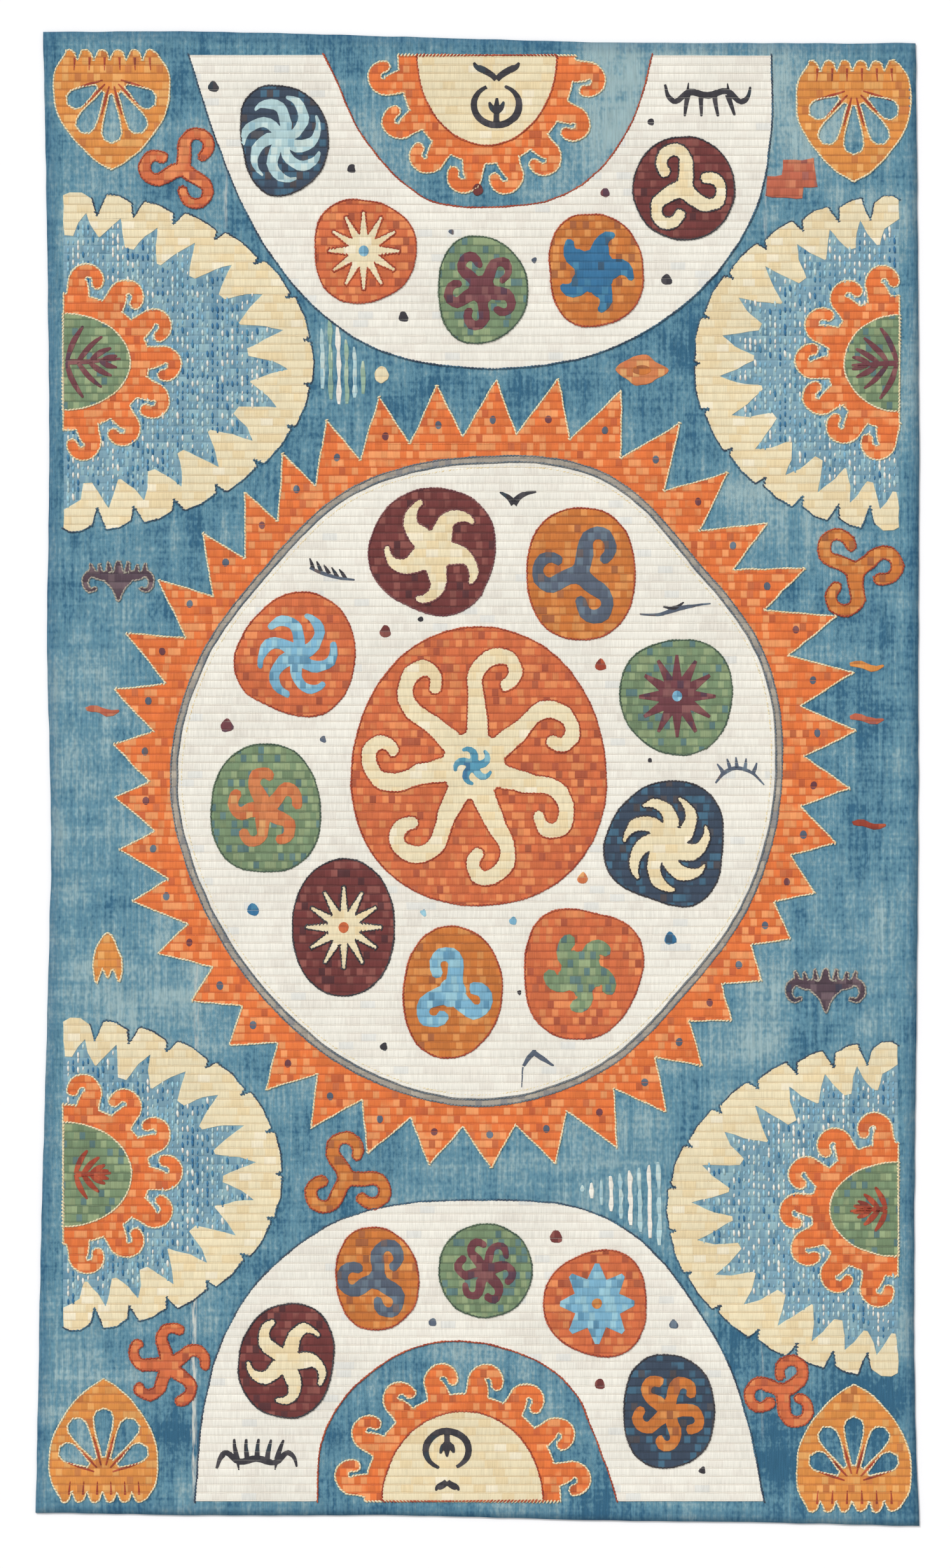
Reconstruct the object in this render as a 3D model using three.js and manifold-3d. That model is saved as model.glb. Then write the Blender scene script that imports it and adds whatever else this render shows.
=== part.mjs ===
// An embroidered cloth of the kaitag kind, laid flat with its face up: a long indigo cloth
// with a turned hem, whose laid silk fields stand a little above the ground weave.
// Millimetres. +X is the right of the design, +Y its top, +Z up. The origin is the middle
// of the underside. Angles run anticlockwise from +X.
import * as THREE from 'three';
import { mergeVertices } from 'three/addons/utils/BufferGeometryUtils.js';
import Module from 'manifold-3d';

// Heights
const CLOTH_THICKNESS = 1.2;
const STITCH_ROOT = 0.6;
const STRAIGHT = 1e-3;
const HEM_WIDTH = 5;
const RISE = { hem: 0.4, field: 0.5, eye: 0.75, disc: 0.75, roundel: 1.05, whirl: 1.3 };

// The four corners of the cloth, and the edges between them, which pull in and out a little
const CORNERS = {
  topLeft: { x: -323, y: 555.5 },
  topRight: { x: 326, y: 547 },
  bottomRight: { x: 328.5, y: -555.5 },
  bottomLeft: { x: -328.5, y: -545.5 },
};
const SIDE_EDGES = [
  { y: 400, left: -320, right: 327.5 },
  { y: 240, left: -318.5, right: 328.5 },
  { y: 100, left: -320, right: 328 },
  { y: -40, left: -317, right: 328 },
  { y: -180, left: -320, right: 326.5 },
  { y: -320, left: -324, right: 325 },
  { y: -440, left: -326.5, right: 325 },
];
const END_EDGES = [
  { x: -200, top: 555.5, bottom: -547.5 },
  { x: -60, top: 552, bottom: -547.5 },
  { x: 80, top: 548, bottom: -551 },
  { x: 220, top: 547, bottom: -553 },
];

// The white horseshoes: how wide each of their two edges is at each height, down to the crown
const TOP_HORSESHOE = {
  outer: {
    crown: { x: 12, y: 305 },
    legs: [
      { y: 538, left: -215, right: 219 },
      { y: 474, left: -194, right: 218 },
      { y: 423, left: -173, right: 207 },
      { y: 376, left: -144, right: 178 },
      { y: 338, left: -106, right: 134 },
      { y: 315, left: -63, right: 85 },
    ],
  },
  inner: {
    crown: { x: 5, y: 425 },
    legs: [
      { y: 538, left: -114, right: 130 },
      { y: 513, left: -102, right: 124 },
      { y: 489, left: -92, right: 115 },
      { y: 465, left: -76, right: 101 },
      { y: 442, left: -54, right: 78 },
      { y: 429, left: -33, right: 50 },
    ],
  },
};
const BOTTOM_HORSESHOE = {
  outer: {
    crown: { x: 5, y: -313 },
    legs: [
      { y: -537, left: -210, right: 213 },
      { y: -478, left: -205, right: 201 },
      { y: -429, left: -194, right: 184 },
      { y: -386, left: -173, right: 158 },
      { y: -356, left: -145, right: 135 },
      { y: -330, left: -107, right: 103 },
      { y: -317, left: -64, right: 67 },
    ],
  },
  inner: {
    crown: { x: -16, y: -418 },
    legs: [
      { y: -537, left: -119, right: 104 },
      { y: -500, left: -117, right: 92 },
      { y: -480, left: -111, right: 84 },
      { y: -457, left: -96, right: 73 },
      { y: -438, left: -75, right: 53 },
      { y: -423, left: -47, right: 19 },
    ],
  },
};

// The sunburst: the white disc's radius, how far the teeth reach beyond it, and how far their
// tips lean clockwise, at each sixteenth of a turn
const SUN_CENTRE = { x: -1, y: -2 };
const SUN_TEETH = 41;
const SUN_BAND = 21;
const SUN_SECTIONS = [
  { disc: 222, reach: 56, lean: 5 },
  { disc: 229, reach: 66, lean: 8 },
  { disc: 227, reach: 63, lean: 12 },
  { disc: 243, reach: 67, lean: 4 },
  { disc: 236, reach: 62, lean: 4 },
  { disc: 232, reach: 60, lean: 8 },
  { disc: 218, reach: 56, lean: 15 },
  { disc: 220, reach: 63, lean: 5 },
  { disc: 222, reach: 47, lean: 8 },
  { disc: 218, reach: 53, lean: 13 },
  { disc: 220, reach: 47, lean: 7 },
  { disc: 229, reach: 57, lean: 6 },
  { disc: 236, reach: 51, lean: 0 },
  { disc: 230, reach: 60, lean: -7 },
  { disc: 216, reach: 45, lean: -4 },
  { disc: 218, reach: 45, lean: 2 },
];

// The half medallions that stand on the cloth's four margins, facing inwards. along and inward
// are half the width on the margin and the depth from it, of the eye, its band and the ring.
const HALF_MEDALLIONS = [
  {
    x: 7, y: 538, facing: 180, hooks: 8, hand: 1,
    eye: { along: 52, inward: 67 }, band: { along: 66, inward: 81 },
  },
  {
    x: -11, y: -537, facing: 0, hooks: 8, hand: 1,
    eye: { along: 60, inward: 67 }, band: { along: 73, inward: 80 },
  },
  {
    x: -308, y: 310, facing: -90, hooks: 7, hand: 1,
    eye: { along: 36, inward: 50 }, band: { along: 51, inward: 64 },
    ring: { along: 127, inward: 187, teeth: 15 },
  },
  {
    x: 314, y: 309, facing: 90, hooks: 7, hand: 1,
    eye: { along: 36, inward: 41 }, band: { along: 50, inward: 54 },
    ring: { along: 125, inward: 154, teeth: 14 },
  },
  {
    x: -308, y: -294, facing: -90, hooks: 7, hand: -1,
    eye: { along: 39, inward: 51 }, band: { along: 52, inward: 65 },
    ring: { along: 117, inward: 164, teeth: 14 },
  },
  {
    x: 313, y: -320, facing: 90, hooks: 7, hand: -1,
    eye: { along: 35, inward: 51 }, band: { along: 50, inward: 65 },
    ring: { along: 125, inward: 173, teeth: 15 },
  },
];
const RING_BAND = 22;
const RING_END = 0.8; // how deep the band is at the margin, as a part of that
const RING_TOOTH = 25;
const RING_NOTCH = 17;
const RING_EVENING = 0.15; // sets the blocks at even steps along the ellipse
const RING_SHIFT = 0.36; // how far the teeth inside stand from the blocks outside, in blocks
const HOOK_SHIFT = 0.13; // how far the hooks stand back from the margin that they curl towards
const HOOK = {
  root: 15,
  point: 9,
  bends: [{ run: 15, turn: 15, steps: 1 }, { run: 27, turn: -205, steps: 5 }],
};

// The roundels: centre, full width and height, lean of the long axis in degrees, how square
// they are, where 2 is a true ellipse, and how far they bulge towards three sides
const ROUNDELS = [
  { x: -144.5, y: 475.5, width: 64, height: 81, lean: 8, square: 2.3, bulge: 0.05, toward: 130 },
  { x: -84.5, y: 392.5, width: 75, height: 76, lean: 0, square: 2.3, bulge: 0.04, toward: 5 },
  { x: 3, y: 363.5, width: 66, height: 79, lean: 0, square: 2.2, bulge: 0.04, toward: 0 },
  { x: 87.5, y: 378, width: 69, height: 83, lean: 6, square: 2.4, bulge: 0.03, toward: 0 },
  { x: 153.5, y: 439, width: 76, height: 77, lean: 0, square: 2 },
  { x: -32.5, y: 169.5, width: 92, height: 92, lean: -20, square: 2.3, bulge: 0.03, toward: 175 },
  { x: 77, y: 152.5, width: 80, height: 98, lean: 0, square: 2.3 },
  { x: 148.5, y: 61.5, width: 83, height: 85, lean: 0, square: 2.2, bulge: 0.03, toward: 45 },
  { x: 141, y: -48, width: 86, height: 90, lean: -14, square: 2.5, bulge: 0.06, toward: 185 },
  { x: 77.5, y: -144, width: 86, height: 95, lean: -10, square: 2.5, bulge: 0.05, toward: 135 },
  { x: -19, y: -158.5, width: 73, height: 98, lean: -4, square: 2.1, bulge: 0.02, toward: 0 },
  { x: -99.5, y: -110.5, width: 76, height: 102, lean: 0, square: 2.1 },
  { x: -157.5, y: -22.5, width: 81, height: 95, lean: 0, square: 2.3, bulge: 0.02, toward: 90 },
  { x: -134, y: 92, width: 86, height: 90, lean: -25, square: 2.3, bulge: 0.05, toward: 190 },
  { x: -141.5, y: -432.5, width: 70, height: 85, lean: -10, square: 2.2, bulge: 0.02, toward: 60 },
  { x: -75, y: -371.5, width: 61, height: 76, lean: 6, square: 2.2, bulge: 0.02, toward: 120 },
  { x: 6, y: -365.5, width: 69, height: 69, lean: 0, square: 2.1 },
  { x: 89, y: -390, width: 76, height: 78, lean: 0, square: 2.2, bulge: 0.05, toward: 180 },
  { x: 142, y: -470, width: 67, height: 84, lean: 0, square: 2.3, bulge: 0.02, toward: 120 },
];
const CENTRE_ROUNDEL = {
  x: 1, y: 7.5, width: 189, height: 207, lean: 0, square: 2.1, bulge: 0.02, toward: 90,
};
const CENTRE_WHIRL = {
  x: -3, y: 10, arms: 7, first: 84, stretch: 1.08, hub: 18, root: 14, point: 9, hand: 1,
  bends: [
    { run: 37, turn: 14, steps: 2 }, { run: 36, turn: -116, steps: 3 },
    { run: 25, turn: -150, steps: 4 },
  ],
};

// The pointed palmettes in the corners: middle of the base, size, and which way they point
const PALMETTES = [
  { x: -272, y: 539, width: 86, length: 86, points: -1 },
  { x: 280, y: 531, width: 85, length: 87, points: -1 },
  { x: -278, y: -535, width: 80, length: 89, points: 1 },
  { x: 280, y: -542, width: 85, length: 92, points: 1 },
];
const PALMETTE_BASE_TEETH = 6;
// The slots that fan out from a point above a palmette's base
const PALMETTE_SLOTS = [
  { turn: 90, reach: 48 },
  { turn: 61, reach: 46 },
  { turn: 119, reach: 46 },
  { turn: 32, reach: 37 },
  { turn: 148, reach: 37 },
];

// The whirls of curling hooks that are strewn on the blue
const STRAY_WHIRLS = [
  { x: -219, y: 454, size: 31, arms: 3, first: 80, hand: 1 },
  { x: -230, y: -436, size: 25, arms: 5, first: 100, hand: 1 },
  { x: 227, y: -456, size: 30, arms: 3, first: 150, hand: -1 },
  { x: 281, y: 155, size: 34, arms: 3, first: 150, hand: 1 },
  { x: -97, y: -297, size: 33, arms: 3, first: 115, hand: 1 },
];

const FULL_TURN = 2 * Math.PI;
const radians = THREE.MathUtils.degToRad;
const at = (x, y) => new THREE.Vector2(x, y);
const polar = (radius, angle) => at(radius * Math.cos(angle), radius * Math.sin(angle));

const wasm = await Module();
wasm.setup();

// A closed geometry as a solid that can be joined to others
function solid(geometry) {
  geometry.deleteAttribute('normal');
  geometry.deleteAttribute('uv');
  const merged = mergeVertices(geometry);
  return new wasm.Manifold(new wasm.Mesh({
    numProp: 3,
    vertProperties: new Float32Array(merged.attributes.position.array),
    triVerts: new Uint32Array(merged.index.array),
  }));
}

// An outline without the points that lie on a straight run of it
function corners(outline) {
  return outline.filter((p, i) => {
    const before = p.clone().sub(outline.at(i - 1));
    const after = outline[(i + 1) % outline.length].clone().sub(p);
    return Math.abs(before.cross(after)) > STRAIGHT;
  });
}

// An outline as a slab between two heights
function slab(outline, low, high, holes = []) {
  const shape = new THREE.Shape(corners(outline));
  shape.holes = holes.map((hole) => new THREE.Path(corners(hole)));
  const geometry = new THREE.ExtrudeGeometry(shape, { depth: high - low, bevelEnabled: false });
  geometry.translate(0, 0, low);
  return solid(geometry);
}

// Stitched silk: it is rooted in the weave and stands above it
const stitched = (outline, rise, holes) => (
  slab(outline, STITCH_ROOT, CLOTH_THICKNESS + rise, holes)
);

// A smooth line through the points, with a few steps in each span
function smoothLine(points, steps) {
  const knots = points.map((p) => new THREE.Vector3(p.x, p.y, 0));
  const curve = new THREE.CatmullRomCurve3(knots, false, 'centripetal');
  return curve.getPoints((points.length - 1) * steps).map((p) => at(p.x, p.y));
}

// A column of a table whose rows stand evenly round a turn, read smoothly at any angle
function around(rows, column, angle) {
  const place = THREE.MathUtils.euclideanModulo(angle / FULL_TURN, 1) * rows.length;
  const row = Math.floor(place);
  const value = (step) => rows[(row + step + rows.length) % rows.length][column];
  const t = place - row;
  const bend = 2 * value(-1) - 5 * value(0) + 4 * value(1) - value(2);
  const twist = 3 * (value(0) - value(1)) + value(2) - value(-1);
  return value(0) + 0.5 * t * (value(1) - value(-1) + t * (bend + t * twist));
}

// Moves an outline drawn at the origin to its place on the cloth
const placed = (points, x, y, turn) => points.map(
  (p) => p.clone().rotateAround(at(0, 0), radians(turn)).add(at(x, y)),
);

// The cloth's own edge, drawn in by inset all round
function clothOutline(inset) {
  const corner = (name, right, up) => {
    const { x, y } = CORNERS[name];
    return { x: x - right * inset, y: y - up * inset };
  };
  const topLeft = corner('topLeft', -1, 1);
  const topRight = corner('topRight', 1, 1);
  const bottomRight = corner('bottomRight', 1, -1);
  const bottomLeft = corner('bottomLeft', -1, -1);
  const top = END_EDGES.map((row) => ({ x: row.x, y: row.top - inset }));
  const right = SIDE_EDGES.map((row) => ({ x: row.right - inset, y: row.y }));
  const bottom = END_EDGES.map((row) => ({ x: row.x, y: row.bottom + inset })).reverse();
  const left = SIDE_EDGES.map((row) => ({ x: row.left + inset, y: row.y })).reverse();
  const edges = [
    [topLeft, ...top, topRight],
    [topRight, ...right, bottomRight],
    [bottomRight, ...bottom, bottomLeft],
    [bottomLeft, ...left, topLeft],
  ];
  return edges.flatMap((edge) => smoothLine(edge, 2).slice(0, -1));
}

// One edge of a horseshoe, from its left foot round the crown to its right foot
function archLine({ crown, legs }) {
  const down = legs.map((row) => ({ x: row.left, y: row.y }));
  const up = legs.map((row) => ({ x: row.right, y: row.y })).reverse();
  return smoothLine([...down, crown, ...up], 2);
}

const horseshoe = ({ outer, inner }) => [...archLine(outer), ...archLine(inner).reverse()];

function sunDisc(margin) {
  const steps = 40;
  return Array.from({ length: steps }, (_, i) => {
    const angle = (i / steps) * FULL_TURN;
    return polar(around(SUN_SECTIONS, 'disc', angle) + margin, angle);
  });
}

// The toothed ring round the disc
function sunburst() {
  const outline = [];
  for (let i = 0; i < SUN_TEETH; i += 1) {
    const valleyAngle = ((i - 0.5) / SUN_TEETH) * FULL_TURN;
    const valley = around(SUN_SECTIONS, 'disc', valleyAngle) + SUN_BAND;
    outline.push(polar(valley, valleyAngle));
    const middle = (i / SUN_TEETH) * FULL_TURN;
    const tip = around(SUN_SECTIONS, 'disc', middle) + around(SUN_SECTIONS, 'reach', middle);
    outline.push(polar(tip, middle - around(SUN_SECTIONS, 'lean', middle) / tip));
  }
  return outline;
}

// Half an ellipse standing on the margin, from its right foot to its left foot
function halfRound({ along, inward }, steps) {
  return Array.from({ length: steps + 1 }, (_, i) => {
    const angle = (i / steps) * Math.PI;
    return at(along * Math.cos(angle), inward * Math.sin(angle));
  });
}

// Walks a line that bends as it goes; each bend is a run and the turn made over it in degrees
function walk(start, heading, bends) {
  const line = [{ point: start.clone(), heading }];
  let point = start.clone();
  let direction = heading;
  for (const { run, turn, steps } of bends) {
    for (let i = 0; i < steps; i += 1) {
      direction += radians(turn) / steps / 2;
      point = point.clone().add(polar(run / steps, direction));
      direction += radians(turn) / steps / 2;
      line.push({ point, heading: direction });
    }
  }
  return line;
}

// The outline of a curling arm: up one side, round its point and down the other
function arm(start, heading, { root, point, bends }, hand) {
  const line = walk(start, heading, bends.map((bend) => ({ ...bend, turn: bend.turn * hand })));
  const side = (sign) => line.map((mark, i) => {
    const half = THREE.MathUtils.lerp(root, point, i / (line.length - 1)) / 2;
    return mark.point.clone().add(polar(half, mark.heading + (sign * Math.PI) / 2));
  });
  const end = line[line.length - 1];
  const cap = end.point.clone().add(polar(point / 2, end.heading));
  return [...side(-1), cap, ...side(1).reverse()];
}

// The running hooks on the band round a half medallion's eye
function runningHooks({ band, hooks, hand }) {
  return Array.from({ length: hooks }, (_, i) => {
    const angle = ((i + 0.5 + HOOK_SHIFT * hand) / hooks) * Math.PI;
    const root = at(band.along * Math.cos(angle), band.inward * Math.sin(angle));
    const normal = Math.atan2(root.y / band.inward ** 2, root.x / band.along ** 2);
    return arm(root.sub(polar(6, normal)), normal, HOOK, hand);
  });
}

// A ring with sawn edges, from the margin round to the margin: rounded blocks outside with
// slits between them, and pointed teeth inside
function serratedRing({ along, inward, teeth }) {
  const wide = (part) => Math.sin(part * Math.PI);
  const onRing = (depth, part) => {
    const angle = part * Math.PI - RING_EVENING * Math.sin(part * FULL_TURN);
    return at((along - depth) * Math.cos(angle), (inward - depth) * Math.sin(angle));
  };
  const outline = [onRing(3, 0)];
  for (let i = 0; i < teeth; i += 1) {
    const slope = 1 - wide((i + 0.5) / teeth);
    const lip = 0.05 + 0.16 * slope;
    const corners = [0.4, 1.5 + 4 * slope];
    if (i >= teeth / 2) corners.reverse();
    outline.push(onRing(corners[0], (i + lip) / teeth), onRing(0.5, (i + 0.5) / teeth));
    outline.push(onRing(corners[1], (i + 1 - lip) / teeth));
    const notch = RING_NOTCH * (1.2 - 0.85 * wide((i + 1) / teeth));
    if (i < teeth - 1) outline.push(onRing(notch, (i + 1) / teeth));
  }
  outline.push(onRing(3, 1), onRing(RING_BAND * RING_END, 1));
  for (let i = teeth; i > 0; i -= 1) {
    const blunt = 0.06 + 0.06 * Math.sin(2.7 * i + inward);
    const reach = RING_TOOTH * (0.55 + 0.45 * wide((i - 0.3) / teeth) + 0.1 * Math.sin(1.7 * i));
    const tooth = [[-2, 0.04], [0.45 * reach, 0.18], [reach, 0.5 - blunt], [reach, 0.56 + blunt]];
    tooth.forEach(([depth, part]) => {
      const spot = (i + RING_SHIFT - part) / teeth;
      const band = RING_BAND * (RING_END + (1 - RING_END) * wide(spot));
      if (spot < 1) outline.push(onRing(band + depth, spot));
    });
  }
  outline.push(onRing(RING_BAND * RING_END, 0));
  return outline;
}

// An uneven round, between an ellipse and a rounded block
function roundel({ x, y, width, height, lean, square, bulge = 0, toward = 0 }, steps) {
  const outline = Array.from({ length: steps }, (_, i) => {
    const angle = (i / steps) * FULL_TURN;
    const { x: across, y: up } = polar(1, angle);
    const round = (Math.abs(across) ** square + Math.abs(up) ** square) ** (-1 / square);
    const swell = round * (1 + bulge * Math.cos(3 * (angle + radians(lean - toward))));
    return at((across * swell * width) / 2, (up * swell * height) / 2);
  });
  return placed(outline, x, y, lean);
}

// A whirl of curling arms round a hub
function whirl({ x, y, arms, first, stretch, hub, hand, ...shape }) {
  const outline = [];
  for (let i = 0; i < arms; i += 1) {
    const angle = radians(first) + (i / arms) * FULL_TURN;
    outline.push(...arm(polar(hub, angle), angle, shape, hand));
  }
  return outline.map((p) => at(x + p.x, y + p.y * stretch));
}

// A pointed palmette with a ragged base
function palmette({ x, y, width, length, points }) {
  const half = width / 2;
  const side = [
    at(0.8 * half, 0), at(0.97 * half, 0.14 * length), at(half, 0.33 * length),
    at(0.93 * half, 0.52 * length), at(0.7 * half, 0.71 * length), at(0.34 * half, 0.9 * length),
  ];
  const outline = smoothLine([...side, at(0, length)], 2);
  outline.push(...outline.slice(0, -1).reverse().map((p) => at(-p.x, p.y)));
  const tooth = (0.84 * width) / PALMETTE_BASE_TEETH;
  for (let i = 0; i < PALMETTE_BASE_TEETH; i += 1) {
    const left = -0.42 * width + i * tooth;
    outline.push(at(left + 0.2 * tooth, -2.5), at(left + 0.7 * tooth, -1));
    if (i < PALMETTE_BASE_TEETH - 1) outline.push(at(left + 0.95 * tooth, 5));
  }
  return outline.map((p) => at(x + p.x, y + p.y * points));
}

function palmetteSlots({ x, y, length, points }) {
  return PALMETTE_SLOTS.map(({ turn, reach }) => {
    const angle = radians(turn);
    const start = at(0, 0.2 * length).add(polar(13, angle));
    const shape = { root: 3, point: 14, bends: [{ run: reach - 19, turn: 0, steps: 1 }] };
    const slot = arm(start, angle, shape, 1).map((p) => at(x + p.x, y + p.y * points));
    return points > 0 ? slot : slot.reverse();
  });
}

function strayWhirl({ size, ...row }) {
  const bends = [
    { run: 0.34 * size, turn: 15, steps: 1 },
    { run: 1.25 * size, turn: -245, steps: 5 },
  ];
  const shape = { stretch: 1, hub: 0.24 * size, root: 0.28 * size, point: 0.21 * size };
  return whirl({ ...row, bends, ...shape });
}

// The whole embroidered cloth as one solid
function embroideredCloth() {
  const edge = clothOutline(0);
  const inside = clothOutline(HEM_WIDTH).reverse();
  const hem = slab(edge, STITCH_ROOT, CLOTH_THICKNESS + RISE.hem, [inside]);
  const pieces = [slab(edge, 0, CLOTH_THICKNESS), hem];
  pieces.push(stitched(horseshoe(TOP_HORSESHOE), RISE.field));
  pieces.push(stitched(horseshoe(BOTTOM_HORSESHOE), RISE.field));
  pieces.push(stitched(placed(sunburst(), SUN_CENTRE.x, SUN_CENTRE.y, 0), RISE.field));
  pieces.push(stitched(placed(sunDisc(0), SUN_CENTRE.x, SUN_CENTRE.y, 0), RISE.disc));
  for (const medallion of HALF_MEDALLIONS) {
    const set = (outline) => placed(outline, medallion.x, medallion.y, medallion.facing);
    pieces.push(stitched(set(halfRound(medallion.band, 12)), RISE.field));
    for (const hook of runningHooks(medallion)) pieces.push(stitched(set(hook), RISE.field));
    pieces.push(stitched(set(halfRound(medallion.eye, 10)), RISE.eye));
    if (medallion.ring) pieces.push(stitched(set(serratedRing(medallion.ring)), RISE.field));
  }
  for (const row of ROUNDELS) pieces.push(stitched(roundel(row, 16), RISE.roundel));
  pieces.push(stitched(roundel(CENTRE_ROUNDEL, 28), RISE.roundel));
  pieces.push(stitched(whirl(CENTRE_WHIRL), RISE.whirl));
  for (const row of PALMETTES) {
    pieces.push(stitched(palmette(row), RISE.field, palmetteSlots(row)));
  }
  for (const row of STRAY_WHIRLS) pieces.push(stitched(strayWhirl(row), RISE.field));
  return pieces.reduce((whole, piece) => whole.add(piece));
}

// The joined solid as a geometry
function geometryOf(manifold) {
  const { vertProperties, triVerts } = manifold.getMesh();
  const geometry = new THREE.BufferGeometry();
  geometry.setAttribute('position', new THREE.BufferAttribute(vertProperties, 3));
  geometry.setIndex(new THREE.BufferAttribute(triVerts, 1));
  return geometry;
}

const indigoCotton = new THREE.MeshStandardMaterial({
  color: '#3d7fa6',
  roughness: 0.85,
  metalness: 0,
});

const cloth = new THREE.Mesh(geometryOf(embroideredCloth()), indigoCotton);
cloth.name = 'embroidered_cloth';

const embroidery = new THREE.Group();
embroidery.add(cloth);

export default embroidery;
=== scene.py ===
"""An embroidered cloth of the kaitag kind, laid flat with its face up: an indigo cloth with a
turned hem, laid silk held down in rows by couched threads, and stitched lines round each field.
Outlines are worked out in millimetres as complex numbers: x is real and y imaginary."""

import cmath
import math
import random
from functools import partialmethod

import bpy
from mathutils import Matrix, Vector, noise
from mathutils.geometry import delaunay_2d_cdt


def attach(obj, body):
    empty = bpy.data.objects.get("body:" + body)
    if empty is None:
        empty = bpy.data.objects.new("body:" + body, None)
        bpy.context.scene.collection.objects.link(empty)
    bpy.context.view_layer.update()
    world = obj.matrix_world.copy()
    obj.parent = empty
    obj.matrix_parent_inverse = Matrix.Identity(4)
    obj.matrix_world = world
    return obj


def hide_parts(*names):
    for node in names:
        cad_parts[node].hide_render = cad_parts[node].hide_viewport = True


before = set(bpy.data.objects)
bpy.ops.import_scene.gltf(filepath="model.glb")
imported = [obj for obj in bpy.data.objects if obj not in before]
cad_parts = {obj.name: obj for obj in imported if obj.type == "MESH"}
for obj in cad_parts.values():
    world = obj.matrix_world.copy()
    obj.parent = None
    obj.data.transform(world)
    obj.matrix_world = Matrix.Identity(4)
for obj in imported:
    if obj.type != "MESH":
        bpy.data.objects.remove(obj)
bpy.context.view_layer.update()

MM = 0.001
ROW_PITCH = 6.1  # between two couched threads
CLOTH, HEM = 1.2, 1.6  # heights of their upper sides
GROUND = CLOTH - 0.1  # where the silk on the cloth starts
FIELD, EYE, DISC, ROUND, WHIRL = 1.7, 1.95, 1.95, 2.25, 2.5  # heights of the silks

# Sizes, as in the CAD part

CORNERS = {
    "top left": -323 + 555.5j,
    "top right": 326 + 547j,
    "bottom right": 328.5 - 555.5j,
    "bottom left": -328.5 - 545.5j,
}
SIDE_EDGES = [  # y, left, right
    (400, -320, 327.5), (240, -318.5, 328.5), (100, -320, 328), (-40, -317, 328),
    (-180, -320, 326.5), (-320, -324, 325), (-440, -326.5, 325),
]
END_EDGES = [  # x, top, bottom
    (-200, 555.5, -547.5), (-60, 552, -547.5), (80, 548, -551), (220, 547, -553),
]

TOP_OUTER = [  # y, left, right, and then the crown
    (538, -215, 219), (474, -194, 218), (423, -173, 207), (376, -144, 178), (338, -106, 134),
    (315, -63, 85), 12 + 305j,
]
TOP_INNER = [
    (538, -114, 130), (513, -102, 124), (489, -92, 115), (465, -76, 101), (442, -54, 78),
    (429, -33, 50), 5 + 425j,
]
BOTTOM_OUTER = [
    (-537, -210, 213), (-478, -205, 201), (-429, -194, 184), (-386, -173, 158),
    (-356, -145, 135), (-330, -107, 103), (-317, -64, 67), 5 - 313j,
]
BOTTOM_INNER = [
    (-537, -119, 104), (-500, -117, 92), (-480, -111, 84), (-457, -96, 73), (-438, -75, 53),
    (-423, -47, 19), -16 - 418j,
]

SUN_CENTRE = -1 - 2j
SUN_TEETH = 41
SUN_BAND = 21  # from the disc to the notches between the teeth
SUN_SEED = 0.52  # where the seed in a tooth lies, as a part of its reach
SUN_RIM = 5.2  # width of the line round the disc
SUN_UNDER = 3  # how far the sun reaches under the disc
SUN_SECTIONS = [  # radius of the disc, how far the teeth reach beyond it, and their lean
    (222, 56, 5), (229, 66, 8), (227, 63, 12), (243, 67, 4), (236, 62, 4), (232, 60, 8),
    (218, 56, 15), (220, 63, 5), (222, 47, 8), (218, 53, 13), (220, 47, 7), (229, 57, 6),
    (236, 51, 0), (230, 60, -7), (216, 45, -4), (218, 45, 2),
]

# place, facing, hooks and their hand, then along and inward for the eye, its band and the
# ring, and the ring's teeth
HALF_MEDALLIONS = [
    (7 + 538j, 180, 8, 1, (52, 67), (66, 81), None, 0),
    (-11 - 537j, 0, 8, 1, (60, 67), (73, 80), None, 0),
    (-308 + 310j, -90, 7, 1, (36, 50), (51, 64), (127, 187), 15),
    (314 + 309j, 90, 7, 1, (36, 41), (50, 54), (125, 154), 14),
    (-308 - 294j, -90, 7, -1, (39, 51), (52, 65), (117, 164), 14),
    (313 - 320j, 90, 7, -1, (35, 51), (50, 65), (125, 173), 15),
]
RING_BAND = 22  # from the blocks' outer side to the foot of the teeth
RING_END = 0.8  # how deep the band is at the margin, as a part of that
RING_TOOTH = 25  # length of the longest teeth inside
RING_NOTCH = 17  # depth of the slits between the blocks
RING_LIP = (0.05, 0.16)  # how far a block's corners draw in, and how much more at the margin
RING_EVENING = 0.15  # sets the blocks at even steps along the ellipse
RING_STEP = 6  # between two points of its outline
RING_SHIFT = 0.36  # how far the teeth inside stand from the blocks outside, in blocks
HOOK_WIDTHS = [18, 11, 8.5]
HOOK_BENDS = [(9, 15, 3), (27, -205, 10)]  # run, turn, steps
HOOK_ROOT = 6  # how far a hook reaches into its band
HOOK_SHIFT = 0.13  # how far the hooks stand back from the margin they curl towards

PALMETTES = [  # middle of the base, width, length, and which way it points
    (-272 + 539j, 86, 86, -1), (280 + 531j, 85, 87, -1),
    (-278 - 535j, 80, 89, 1), (280 - 542j, 85, 92, 1),
]
PALMETTE_TEETH = 6
PALMETTE_NOTCH = [(0.2, -2.5), (0.45, -3), (0.7, -1), (0.9, 5)]  # along a tooth, depth
PALMETTE_SLOTS = [(90, 48), (61, 46), (119, 46), (32, 37), (148, 37)]  # angle, reach
PALMETTE_SIDE = [  # shares of half the width and of the length, from the base to the point
    (0.8, 0), (0.97, 0.14), (1, 0.33), (0.93, 0.52), (0.7, 0.71), (0.34, 0.9),
]

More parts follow.
